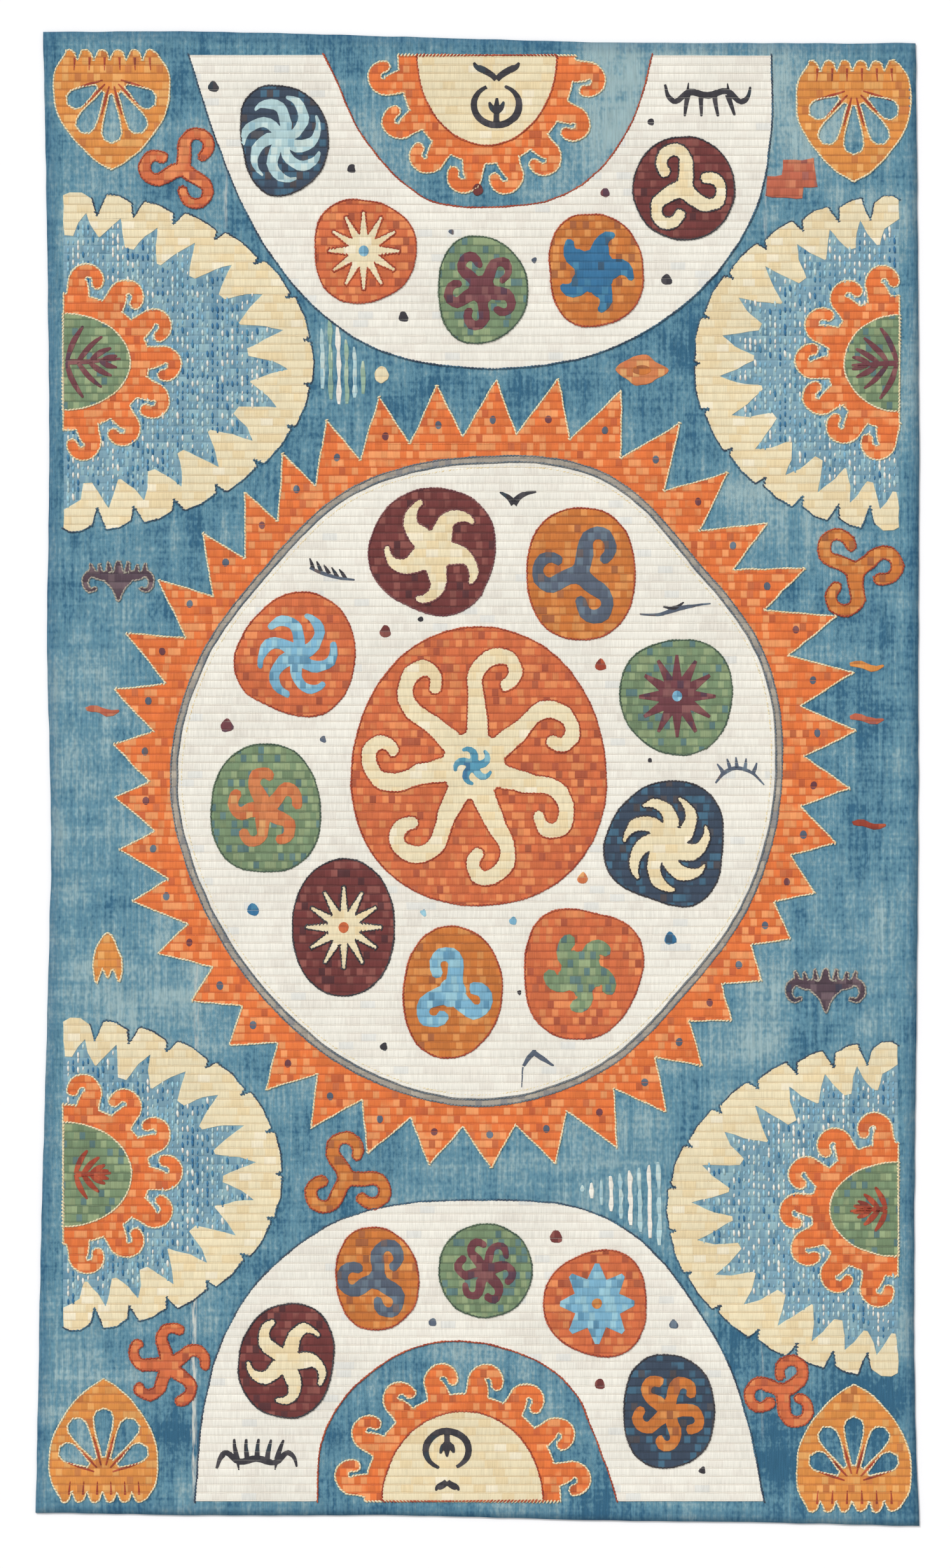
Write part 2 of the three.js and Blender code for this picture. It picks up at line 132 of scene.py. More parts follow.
# x, y, width, height, lean, squareness, bulge and the way it bulges, ground, motif, line,
# and the motif: its kind, arms, first arm, hub, widths and bends, or rays and radii, and core
ROUNDELS = [
    (-144.5, 475.5, 64, 81, 8, 2.3, 0.05, 130, "navy", "pale", "charcoal",
     ("whirl", 7, 70, 3, [5, 8.5, 8, 6.5, 3], [(12, 35, 3), (27, 118, 7)])),
    (-84.5, 392.5, 75, 76, 0, 2.3, 0.04, 5, "vermilion", "cream", "rust",
     ("star", 12, 90, 12, 27, "sky")),
    (3, 363.5, 66, 79, 0, 2.2, 0.04, 0, "green", "plum", "pine",
     ("whirl", 5, 60, 7, [10, 7, 6], [(10, 10, 2), (25, -225, 8)])),
    (87.5, 378, 69, 83, 6, 2.4, 0.03, 0, "ochre", "cobalt", "rust",
     ("whirl", 5, 75, 10, [18, 13, 6], [(6, 12, 2), (13, -85, 4)])),
    (153.5, 439, 76, 77, 0, 2, 0, 0, "maroon", "cream", "charcoal",
     ("whirl", 3, 78, 4, [13, 10, 9, 8.5], [(14, 15, 3), (35, 218, 11)])),
    (-32.5, 169.5, 92, 92, -20, 2.3, 0.03, 175, "maroon", "cream", "plum",
     ("whirl", 5, 62, 9, [20, 15, 11, 8, 5], [(9, 8, 2), (25, -120, 7)])),
    (77, 152.5, 80, 98, 0, 2.3, 0, 0, "ochre", "slate", "rust",
     ("whirl", 3, 72, 4, [13, 10, 8.5], [(15, 20, 3), (40, -245, 11)])),
    (148.5, 61.5, 83, 85, 0, 2.2, 0.03, 45, "green", "plum", "pine",
     ("star", 12, 90, 14, 28.5, "sky")),
    (141, -48, 86, 90, -14, 2.5, 0.06, 185, "navy", "cream", "charcoal",
     ("whirl", 7, 70, 5, [9, 12.5, 11, 8, 3], [(11, 28, 3), (27, 110, 7)])),
    (77.5, -144, 86, 95, -10, 2.5, 0.05, 135, "vermilion", "green", "rust",
     ("whirl", 5, 60, 10, [17, 13, 10], [(5, 10, 2), (12, -110, 5)])),
    (-19, -158.5, 73, 98, -4, 2.1, 0.02, 0, "ochre", "sky", "rust",
     ("whirl", 3, 75, 6, [14, 10, 9], [(12, 10, 2), (30, 220, 9)])),
    (-99.5, -110.5, 76, 102, 0, 2.1, 0, 0, "maroon", "cream", "charcoal",
     ("star", 12, 90, 12, 28.5, "vermilion")),
    (-157.5, -22.5, 81, 95, 0, 2.3, 0.02, 90, "green", "apricot", "pine",
     ("whirl", 5, 110, 5, [12, 9, 8], [(10, 20, 3), (21, -170, 8)])),
    (-134, 92, 86, 90, -25, 2.3, 0.05, 190, "vermilion", "sky", "rust",
     ("whirl", 6, 80, 5, [10, 9, 7.5, 5], [(10, 25, 3), (25, 122, 8)])),
    (-141.5, -432.5, 70, 85, -10, 2.2, 0.02, 60, "maroon", "cream", "charcoal",
     ("whirl", 5, 70, 5, [12, 12, 9.5, 7, 4], [(9, 12, 2), (24, -135, 7)])),
    (-75, -371.5, 61, 76, 6, 2.2, 0.02, 120, "ochre", "slate", "rust",
     ("whirl", 3, 80, 4, [11, 8.5, 7.5], [(10, 20, 2), (34, -246, 10)])),
    (6, -365.5, 69, 69, 0, 2.1, 0, 0, "green", "plum", "pine",
     ("whirl", 6, 70, 5, [8, 6, 5.5], [(8, 10, 2), (18, -180, 7)])),
    (89, -390, 76, 78, 0, 2.2, 0.05, 180, "vermilion", "sky", "rust",
     ("star", 8, 90, 18, 28, "ochre")),
    (142, -470, 67, 84, 0, 2.3, 0.02, 120, "navy", "ochre", "charcoal",
     ("whirl", 5, 72, 5, [10, 8, 7.5], [(10, 10, 2), (21, -180, 8)])),
    (1, 7.5, 189, 207, 0, 2.1, 0.02, 90, "vermilion", "cream", "rust",
     ("whirl", 7, 84, 18, [19, 12.5, 12, 11.5, 9], [(37, 14, 5), (36, -116, 8), (25, -150, 9)])),
]
CENTRE_SHIFT = -4 + 2.5j  # of the middle whirl in its roundel

STRAY_WHIRLS = [  # place, size, arms, first arm, hand, silk
    (-219 + 454j, 31, 3, 80, 1, "vermilion"), (-230 - 436j, 31, 5, 100, 1, "vermilion"),
    (227 - 456j, 30, 3, 150, -1, "vermilion"), (281 + 155j, 34, 3, 150, 1, "ochre"),
    (-97 - 297j, 33, 3, 115, 1, "ochre"),
]

DOTS = [  # x, y, size, silk
    (-196.5, 514.6, 8, "charcoal"), (-93.4, 453.6, 6.5, "charcoal"), (-19.2, 406.8, 4, "slate"),
    (-55.1, 343.4, 7.5, "charcoal"), (42.3, 385.5, 4, "slate"), (94.8, 435.6, 6.5, "plum"),
    (128.9, 488.1, 5.5, "charcoal"), (140.7, 371.3, 8, "charcoal"), (-68.3, 109.3, 8.5, "maroon"),
    (-186.1, 39.7, 9.5, "plum"), (-114.7, 29.3, 5, "slate"), (91.5, 84.7, 8.5, "rust"),
    (78.3, -73.8, 8, "apricot"), (-166.7, -97.4, 9, "cobalt"), (143.5, -118.7, 9, "cobalt"),
    (-42.3, 118.7, 4, "charcoal"), (26.7, -105.5, 6, "sky"), (31, -158.9, 3.5, "charcoal"),
    (-40, -99.8, 5, "sky"), (128.4, 13.7, 4, "charcoal"), (58.4, -340.6, 9.5, "maroon"),
    (145.9, -405.4, 7, "slate"), (91.1, -449.8, 7.5, "maroon"), (167.2, -514.2, 5.5, "charcoal"),
    (-33.3, -404, 6, "slate"), (-69.3, -199.1, 6, "charcoal"),
]

WINGED_LEAVES = [(-267 + 149j, 0.95), (259 - 155.1j, 1.05)]  # place, size
LEAF_BODY = [
    -18j, 5 - 8j, 12 - 1j, 14 + 4j, 8 + 5j, 4 + 5j, 1.5 + 13j, -1.5 + 13j, -4 + 5j, -8 + 5j,
    -14 + 4j, -12 - 1j, -5 - 8j,
]
LEAF_WING = [9 + 2j, 15 + 2j, 21 + 4j, 25 + 1j, 25.5 - 5j, 22 - 9j, 18 - 8j]
WAVY_DASHES = [
    (289.2 + 84.7j, "amber"), (289.2 + 45.4j, "brick"), (291.1 - 33.1j, "rust"),
    (-279.3 + 51.6j, "brick"),
]
LENS = [-20 + 0j, -9 + 8j, 3 + 11j, 12 + 5j, 20 - 1j, 10 - 8j, -3 - 12j, -12 - 6j]
FLAG = [-20 - 12j, -18 + 3j, -7 + 4j, -6 + 15j, 17 + 16j, 19 - 6j, 9 - 5j, 8 - 14j]
BELL = [
    -8 - 19j, -11 - 6j, -8 + 8j, 0 + 19j, 7 + 9j, 11 - 5j, 9 - 18j, 4 - 8j, 0 - 15j, -4 - 8j,
]
BARS = [  # x, foot, top, silk
    *((78 + 7.2 * i, -307 - 5 * i, -303 + 2.2 * i, ("pale", "white")[i % 2]) for i in range(9)),
    (-115, 290, 334, "pale"), (-109, 282, 343, "moss"), (-103, 278, 338, "white"),
    (-97, 279, 326, "moss"), (-91, 283, 320, "pale"), (-85, 286, 310, "moss"),
]
LASH_BAR = [  # as shares of its width
    -0.5 + 0.13j, -0.45 - 0.02j, -0.38 - 0.07j, -0.22 + 0.04j, 0.0, 0.22 + 0.05j, 0.38 - 0.07j,
    0.46 - 0.02j, 0.5 + 0.13j,
]
STROKES = [  # silk, points, widths
    ("charcoal", [27.5 + 204.5j, 24 + 208.5j, 17.5 + 213j], [6, 4.5, 2]),
    ("charcoal", [26.5 + 204.5j, 30.5 + 209j, 36 + 212j, 43 + 213.5j], [6, 4.5, 4, 1.8]),
    ("slate", [34 - 213.5j, 38.5 - 207j, 42.5 - 203j], [2.6, 4, 4]),
    ("slate", [41.5 - 203j, 48 - 207.5j, 56 - 213j], [4, 4, 2]),
    ("slate", [33.8 - 214j, 33 - 229j], [1.4, 1.0]),
    ("slate", [120.4 + 122.5j, 134 + 122j, 147 + 126j, 160 + 128.5j, 173 + 130.5j],
     [1.4, 2.6, 4.2, 2.6, 1.2]),
    ("charcoal", [138 + 128j, 147 + 127j, 153 + 131j], [1.5, 3.6, 1.5]),
    ("slate", [177 - 3j, 184 + 5j, 193 + 8j, 203 + 5j, 213 - 4j], [1.6, 3.4, 3, 2.8, 1.4]),
    ("slate", [-125 + 157j, -115 + 153j, -104 + 149.5j, -92 + 148j], [2, 3, 2.6, 1.8]),
]
RAYS = [  # x, y, heading
    (183, 4, 118), (188, 7, 104), (193, 8, 92), (199, 7, 80), (205, 4, 66), (-122, 156, 104),
    (-116, 154, 112), (-110, 152, 116), (-104, 150, 118), (-98, 149, 120),
]
MOTIF_STRETCH = 1.08  # how much taller than wide the motifs of the roundels are

DYE_WAVES = [  # strength, width and height of the waves, and their place in the noise
    (0.42, 60, 90, 8.1), (0.25, 15, 19, 2.9), (0.22, 400, 9, 3.3), (0.22, 7, 300, 5.2),
]
DYE_SPOTS = [  # place, reach, and how much paler the dye is there
    (-262 - 20j, 70, 0.9), (150 + 530j, 50, 0.9), (95 + 535j, 30, 0.5), (105 + 490j, 34, 1.2),
    (-80 + 500j, 40, 0.5), (-74 + 468j, 35, 0.6), (55 + 435j, 30, 0.4), (230 + 490j, 50, 1.1),
    (-222 + 505j, 26, -1.0), (325 + 430j, 35, 0.8), (325 + 300j, 45, 0.8), (207 + 435j, 26, 0.5),
    (-95 + 275j, 42, -0.5), (100 + 303j, 34, -0.7), (10 + 285j, 30, -0.1), (-300 + 440j, 50, 0.2),
    (211 + 200j, 40, 1.2), (-203 + 199j, 35, -0.2), (300 + 120j, 32, -0.5), (305 - 5j, 30, -0.3),
    (-302 + 78j, 40, 0.1), (-280 + 170j, 30, -0.5), (-249 - 165j, 48, 1.0),
    (-150 - 220j, 50, 0.8), (-90 - 315j, 30, 0.6), (176 - 212j, 42, 1.0), (40 - 300j, 40, 0.9),
    (125 - 287j, 32, 0.7), (275 - 150j, 40, 0.6), (0 - 440j, 60, 0.2), (-310 - 310j, 40, 0.5),
    (-300 - 440j, 40, 0.6), (-216 - 485j, 30, -0.8), (200 - 424j, 24, -1.0),
    (288 - 462j, 30, -1.5), (222 - 500j, 30, -1.0), (326 - 415j, 24, 1.3),
]

# Outlines


def polar(radius, degrees):
    return cmath.rect(radius, math.radians(degrees))


def smooth(points, steps=6, closed=False):
    """A smooth line through the points."""
    if closed:
        knots = [points[-1], *points, points[0], points[1]]
    else:
        knots = [2 * points[0] - points[1], *points, 2 * points[-1] - points[-2]]
    line = []
    for p0, p1, p2, p3 in zip(knots, knots[1:], knots[2:], knots[3:]):
        d0, d1, d2 = (max(abs(b - a) ** 0.5, 1e-3) for a, b in ((p0, p1), (p1, p2), (p2, p3)))
        m1 = ((p1 - p0) / d0 - (p2 - p0) / (d0 + d1) + (p2 - p1) / d1) * d1
        m2 = ((p2 - p1) / d1 - (p3 - p1) / (d1 + d2) + (p3 - p2) / d2) * d1
        for step in range(steps):
            t = step / steps
            bend = 3 * (p2 - p1) - 2 * m1 - m2
            line.append(p1 + t * (m1 + t * (bend + t * (2 * (p1 - p2) + m1 + m2))))
    return line if closed else [*line, points[-1]]


def sides(loop):
    """Each point of a closed line with the next."""
    return zip(loop, [*loop[1:], loop[0]])


def dense(outline, step=5.0):
    """The same outline with more points along its straight runs."""
    line = []
    for a, b in sides(outline):
        count = max(1, round(abs(b - a) / step))
        line += [a + (b - a) * k / count for k in range(count)]
    return line


def uneven(outline, amount=0.7, size=11):
    """The same outline, drawn by a less steady hand."""
    moved = []
    for p in outline:
        drift = (noise.noise(Vector((p.real / size, p.imag / size, z))) for z in (3.7, 9.2))
        moved.append(p + amount * complex(*drift))
    return moved


def rough(outlines, amount=0.7, size=11):
    return [uneven(outline, amount, size) for outline in outlines]


def placed(points, place, turn=0, up=1):
    return [place + complex(p.real, p.imag * up) * polar(1, turn) for p in points]


def around(column, degrees):
    """A column of the sun's table, read smoothly at any angle."""
    rows = len(SUN_SECTIONS)
    spot = (degrees / 360) % 1 * rows
    row = int(spot)
    t = spot - row
    a, b, c, d = (SUN_SECTIONS[(row + k) % rows][column] for k in (-1, 0, 1, 2))
    return b + 0.5 * t * (c - a + t * (2 * a - 5 * b + 4 * c - d + t * (3 * (b - c) + d - a)))


def arch(rows):
    """One edge of a horseshoe, from its left foot round the crown to its right foot."""
    *legs, crown = rows
    left = [complex(row[1], row[0]) for row in legs]
    right = [complex(row[2], row[0]) for row in reversed(legs)]
    return smooth([*left, crown, *right])


def sun_disc(margin=0.0):
    return [SUN_CENTRE + polar(around(0, 1.5 * i) + margin, 1.5 * i) for i in range(240)]


def sun_tip(i, part=1.0):
    """The point of a tooth, or a spot part of the way from the disc to it."""
    angle = 360 * i / SUN_TEETH
    radius = around(0, angle) + part * around(1, angle)
    lean = part * around(2, angle)
    return SUN_CENTRE + polar(radius, angle - math.degrees(lean / radius))


def sunburst():
    points = []
    for i in range(SUN_TEETH):
        angle = 360 * (i - 0.5) / SUN_TEETH
        points += [SUN_CENTRE + polar(around(0, angle) + SUN_BAND, angle), sun_tip(i)]
    return dense(points)


def half_round(along, inward):
    turns = [math.pi * i / 32 for i in range(33)]
    return [complex(along * math.cos(a), inward * math.sin(a)) for a in turns]


def walk(start, heading, bends):
    """Points and headings of a line that bends as it goes."""
    line = [(start, heading)]
    for run, turn, steps in bends:
        for _ in range(steps):
            heading += turn / steps / 2
            start += polar(run / steps, heading)
            heading += turn / steps / 2
            line.append((start, heading))
    return line


def ribbon(line, widths):
    """The outline of a stroke along a walked line, with a round end."""
    right, left = [], []
    for i, (point, heading) in enumerate(line):
        part = i / (len(line) - 1) * (len(widths) - 1)
        low = min(int(part), len(widths) - 2)
        half = (widths[low] + (widths[low + 1] - widths[low]) * (part - low)) / 2
        right.append(point + polar(half, heading - 90))
        left.append(point + polar(half, heading + 90))
    tip, heading = line[-1]
    cap = [tip + polar(widths[-1] / 2, heading + turn) for turn in (-50, 0, 50)]
    return [*right, *cap, *reversed(left)]


def arm(start, heading, widths, bends, hand=1):
    bends = [(run, turn * hand, steps) for run, turn, steps in bends]
    return ribbon(walk(start, heading, bends), widths)


def hooks_round(along, inward, count, hand):
    """The running hooks of a half medallion."""
    found = []
    for i in range(count):
        angle = math.pi * (i + 0.5 + HOOK_SHIFT * hand) / count
        root = complex(along * math.cos(angle), inward * math.sin(angle))
        normal = math.degrees(math.atan2(root.imag / inward**2, root.real / along**2))
        start = root - polar(HOOK_ROOT, normal)
        bends = [(HOOK_ROOT, 0, 1), *HOOK_BENDS]
        found.append(arm(start, normal, HOOK_WIDTHS, bends, hand))
    return found


def serrated_ring(along, inward, teeth):
    """Blocks outside with slits between them and pointed teeth inside, as two outlines."""

    def wide(part):
        """1 in the middle of the ring, and nought where it meets the margin."""
        return math.sin(math.pi * part)

    def on_ring(depth, part):
        """The spot at that depth, part of the way round."""
        angle = math.pi * part - RING_EVENING * math.sin(2 * math.pi * part)
        return complex((along - depth) * math.cos(angle), (inward - depth) * math.sin(angle))

    outer = [on_ring(3, 0)]
    for i in range(teeth):
        slope = 1 - wide((i + 0.5) / teeth)
        lip = RING_LIP[0] + RING_LIP[1] * slope
        corners = [0.4, 1.5 + 4 * slope]
        if i >= teeth / 2:
            corners.reverse()
        outer += [on_ring(corners[0], (i + lip) / teeth), on_ring(0.5, (i + 0.5) / teeth),
                  on_ring(corners[1], (i + 1 - lip) / teeth)]
        notch = RING_NOTCH * (1.2 - 0.85 * wide((i + 1) / teeth))
        outer.append(on_ring(notch if i < teeth - 1 else 3, (i + 1) / teeth))
    inner = [on_ring(RING_BAND * RING_END, 1)]
    for i in range(teeth, 0, -1):
        blunt = 0.06 + 0.06 * math.sin(2.7 * i + inward)
        reach = RING_TOOTH * (0.55 + 0.45 * wide((i - 0.3) / teeth) + 0.1 * math.sin(1.7 * i))
        tooth = ((-2, 0.04), (0.45 * reach, 0.18), (reach, 0.5 - blunt), (reach, 0.56 + blunt),
                 (0.35 * reach, 0.84))
        for depth, part in tooth:
            spot = (i + RING_SHIFT - part) / teeth
            band = RING_BAND * (RING_END + (1 - RING_END) * wide(spot))
            if spot < 1:
                inner.append(on_ring(band + depth, spot))
    return outer, [*inner, on_ring(RING_BAND * RING_END, 0)]


def roundel(x, y, width, height, lean=0, square=2.0, bulge=0.0, toward=0, steps=48):
    """An uneven round, between an ellipse and a rounded block."""
    outline = []
    for i in range(steps):
        turn = 360 * i / steps
        ray = polar(1, turn)
        swell = (abs(ray.real) ** square + abs(ray.imag) ** square) ** (-1 / square)
        swell *= 1 + bulge * math.cos(math.radians(3 * (turn + lean - toward)))
        outline.append(complex(ray.real * width / 2, ray.imag * height / 2) * swell)
    return placed(outline, complex(x, y), lean)


def whirl(centre, arms, first, hub, widths, bends, stretch=1.0):
    """The arms of a whirl, and its hub."""
    size = 2 * hub + widths[0] * 0.6
    found = [roundel(0, 0, size, size, steps=20)]
    for i in range(arms):
        angle = first + 360 * i / arms
        found.append(arm(polar(hub * 0.6, angle), angle, widths, [(hub * 0.4, 0, 1), *bends]))
    return [placed(part, centre, up=stretch) for part in found]


def star(centre, rays, first, inner, outer, stretch):
    outline = []
    for i in range(rays):
        angle = first + 360 * i / rays
        outline += [polar(inner, angle - 180 / rays), polar(outer, angle - 30 / rays),
                    polar(outer, angle + 30 / rays)]
    return placed(outline, centre, up=stretch)


def palmette(base, width, length, points):
    """A pointed palmette with a ragged base."""
    side = [complex(across * width / 2, up * length) for across, up in PALMETTE_SIDE]
    outline = smooth([*side, length * 1j], 5)
    outline += [complex(-p.real, p.imag) for p in reversed(outline[:-1])]
    tooth = 0.84 * width / PALMETTE_TEETH
    for i in range(PALMETTE_TEETH):
        left = -0.42 * width + i * tooth
        outline += [left + along * tooth + depth * 1j for along, depth in PALMETTE_NOTCH]
    outline.pop()
    return placed(outline, base, up=points)


# Materials

LIGHT = 1.04  # what the lights send back from a white surface that lies flat
SILKS = {  # sRGB of the floss, its flecks, its rare sparks and its couched line
    "white": ((238, 234, 222), (232, 226, 214), (224, 224, 218), (216, 199, 184)),
    "cream": ((234, 220, 184), (231, 209, 164), (242, 232, 206), (208, 172, 126)),
    "vermilion": ((210, 109, 65), (228, 142, 88), (164, 80, 56), (156, 70, 50)),
    "orange": ((226, 117, 58), (238, 160, 102), (190, 92, 54), (184, 90, 52)),
    "apricot": ((208, 126, 78), (196, 104, 62), (226, 170, 110), (150, 90, 60)),
    "ochre": ((202, 118, 54), (222, 150, 84), (156, 92, 60), (144, 82, 46)),
    "rust": ((160, 66, 46), (190, 92, 60), (120, 54, 46), (110, 50, 40)),
    "maroon": ((112, 54, 52), (146, 86, 78), (78, 44, 48), (84, 42, 44)),
    "plum": ((112, 62, 68), (140, 92, 90), (84, 60, 76), (90, 50, 54)),
    "navy": ((58, 72, 90), (70, 110, 134), (82, 74, 74), (44, 50, 62)),
    "slate": ((86, 96, 112), (108, 124, 138), (112, 96, 92), (70, 74, 84)),
    "green": ((118, 140, 106), (150, 166, 124), (84, 118, 124), (90, 102, 80)),
    "pine": ((72, 92, 76), (92, 110, 88), (60, 80, 90), (60, 72, 62)),
    "sky": ((124, 176, 202), (158, 202, 214), (84, 134, 164), (84, 128, 150)),
    "haze": ((122, 158, 174), (150, 184, 190), (92, 134, 156), (106, 144, 162)),
    "moss": ((150, 178, 156), (190, 204, 180), (110, 146, 140), (120, 150, 140)),
    "amber": ((220, 142, 68), (230, 170, 100), (192, 114, 62), (168, 100, 62)),
    "brick": ((186, 98, 72), (202, 126, 92), (150, 88, 82), (142, 74, 60)),
    "dusk": ((84, 66, 76), (116, 96, 102), (64, 66, 84), (62, 52, 60)),
    "pale": ((176, 204, 206), (206, 222, 216), (140, 178, 190), (150, 180, 190)),
    "taupe": ((162, 154, 142), (180, 170, 154), (132, 132, 134), (120, 116, 114)),
    "teal": ((84, 148, 174), (136, 186, 198), (60, 108, 148), (50, 92, 122)),
    "cobalt": ((52, 112, 154), (76, 138, 170), (60, 84, 104), (40, 80, 110)),
    "grey": ((98, 110, 120), (130, 134, 136), (96, 100, 110), (84, 92, 98)),
    "charcoal": ((56, 54, 60), (76, 72, 76), (50, 64, 74), (40, 38, 42)),
}


def colour(rgb):
    """sRGB as numbers to 255, as the linear colour that the lights turn into it."""

    def linear(c):
        c /= 255
        return c / 12.92 if c <= 0.04045 else ((c + 0.055) / 1.055) ** 2.4

    return (*(linear(c) / LIGHT for c in rgb), 1.0)


class Value:
    """What a socket gives out, to be reckoned with as in a plain sum."""

    def __init__(self, nodes, socket):
        self.nodes, self.socket = nodes, socket

    def math(self, operation, *others):
        values = dict(enumerate((self, *others)))
        return self.nodes.value("ShaderNodeMath", values, operation=operation)

    __add__ = partialmethod(math, "ADD")
    __sub__ = partialmethod(math, "SUBTRACT")
    __rsub__ = partialmethod(math, "MULTIPLY_ADD", -1.0)
    __mul__ = __rmul__ = partialmethod(math, "MULTIPLY")
    __truediv__ = partialmethod(math, "DIVIDE")

    def to_edge(self):
        """How far a part of a run is from the nearer end of it."""
        return self.math("MINIMUM", 1.0 - self)


class Nodes:
    """Adds nodes to a tree and links their sockets."""

    def __init__(self, tree):
        self.tree = tree

    def add(self, kind, values=(), **settings):
        node = self.tree.nodes.new(kind)
        for name, value in settings.items():
            setattr(node, name, value)
        for key, value in dict(values).items():
            if isinstance(value, Value):
                self.tree.links.new(value.socket, node.inputs[key])
            else:
                node.inputs[key].default_value = value
        return node

    def values(self, kind, values=(), **settings):
        return [Value(self, socket) for socket in self.add(kind, values, **settings).outputs]

    def value(self, kind, values=(), **settings):
        return self.values(kind, values, **settings)[0]

    def give(self, values):
        """Ends the tree with what it gives out."""
        self.add("NodeGroupOutput", values)
        return self.tree

    def vector(self, operation, values):
        return self.value("ShaderNodeVectorMath", values, operation=operation)

    def mix(self, part, a, b):
        return self.values("ShaderNodeMix", {0: part, 6: a, 7: b}, data_type="RGBA")[2]

    def ramp(self, value, low, high, start=0.0, end=1.0):
        """value from low to high, as a smooth run from start to end."""
        return self.value("ShaderNodeMapRange", {0: value, 1: low, 2: high, 3: start, 4: end},
                          interpolation_type="SMOOTHSTEP")

    def noise(self, spot, scale, detail=2.0, stretch=(1, 1, 1)):
        spot = self.vector("MULTIPLY", {0: spot, 1: stretch})
        return self.value("ShaderNodeTexNoise", {"Vector": spot, "Scale": scale, "Detail": detail})

    def place(self):
        """The spot on the piece, and its x and y."""
        spot = Value(self, self.add("ShaderNodeTexCoord").outputs["Object"])
        return spot, *self.values("ShaderNodeSeparateXYZ", {0: spot})[:2]


COLOUR, NUMBER, GEOMETRY = "NodeSocketColor", "NodeSocketFloat", "NodeSocketGeometry"


def group(kind, name, inputs, outputs):
    """The nodes of a new group with these sockets, and what it is given."""
    tree = bpy.data.node_groups.new(name, kind)
    for way, sockets in (("INPUT", inputs), ("OUTPUT", outputs)):
        for socket, socket_type in sockets:
            tree.interface.new_socket(socket, in_out=way, socket_type=socket_type)
    nodes = Nodes(tree)
    given = nodes.values("NodeGroupInput")
    return nodes, {value.socket.name: value for value in given}


def look(name, colours, numbers=""):
    """A shader group that gives out the colour, roughness and height of a surface."""
    inputs = [*((n, COLOUR) for n in colours.split()), *((n, NUMBER) for n in numbers.split())]
    outputs = [("Color", COLOUR), ("Roughness", NUMBER), ("Height", NUMBER)]
    return group("ShaderNodeTree", name, inputs, outputs)


SILK_VALUES = "Floss Fleck Spark Line", "Run Flecks Sparks Lines Uneven"


def laid_silk():
    """Floss laid upright and held in rows by couched threads, in short runs of uneven tint."""
    nodes, given = look("laid silk", *SILK_VALUES)
    spot, x, y = nodes.place()
    rows = y / (ROW_PITCH * MM)
    row = rows.math("FLOOR")
    shift = nodes.value("ShaderNodeTexWhiteNoise", {"W": row}, noise_dimensions="1D")
    runs = x / (given["Run"] * MM) + shift
    run = runs.math("FLOOR")
    cell = nodes.value("ShaderNodeCombineXYZ", {0: run, 1: row})
    luck, tints = nodes.values("ShaderNodeTexWhiteNoise", {"Vector": cell}, noise_dimensions="2D")
    odds = luck + (nodes.noise(spot, 38.0, 3.0) - 0.5)
    fleck = nodes.ramp(odds - (1.0 - given["Flecks"]), -0.06, 0.12)
    body = nodes.mix(0.8 * fleck, given["Floss"], given["Fleck"])
    _, spark, tint = nodes.values("ShaderNodeSeparateColor", {0: tints})
    body = nodes.mix(0.8 * spark.math("LESS_THAN", given["Sparks"]), body, given["Spark"])
    fibre = nodes.noise(spot, 1.0, 2.0, (1400, 75, 1))
    wander = 0.22 * (nodes.noise(spot, 260.0) - 0.5)
    line = nodes.ramp((rows - row).to_edge() + wander, 0.05, 0.2, 1.0, 0.0)
    seam = nodes.ramp((runs - run).to_edge(), 0.02, 0.09, 0.35, 0.0)
    lined = nodes.mix(given["Lines"] * line.math("MAXIMUM", seam), body, given["Line"])
    cloud = nodes.ramp(nodes.noise(spot, 16.0), 0.3, 0.7, -0.04, 0.04)
    shade = nodes.ramp(fibre, 0.3, 0.7, 0.92, 1.08) + cloud + (tint - 0.5) * given["Uneven"]
    return nodes.give({
        "Color": nodes.vector("SCALE", {0: lined, 3: shade}), "Height": 0.7 * fibre - line,
        "Roughness": nodes.ramp(fibre, 0.3, 0.7, 0.66, 0.5),
    })


STREAKS = [  # x, from y, to y, width, strength
    (-211, -548, -240, 3.2, 1.0), (-209, -260, 20, 2.4, 0.6), (-222, -330, -190, 1.6, 0.5),
    (-187, 395, 465, 2.2, 0.7), (97, -330, -290, 3.0, 0.6), (212, -500, -200, 1.6, 0.35),
    (214, 380, 545, 2.0, 0.4),
]
FADE = 40 * MM  # over which a streak begins and ends
WARP, WEFT = 0.9 * MM, 1.0 * MM  # from one yarn to the next but one


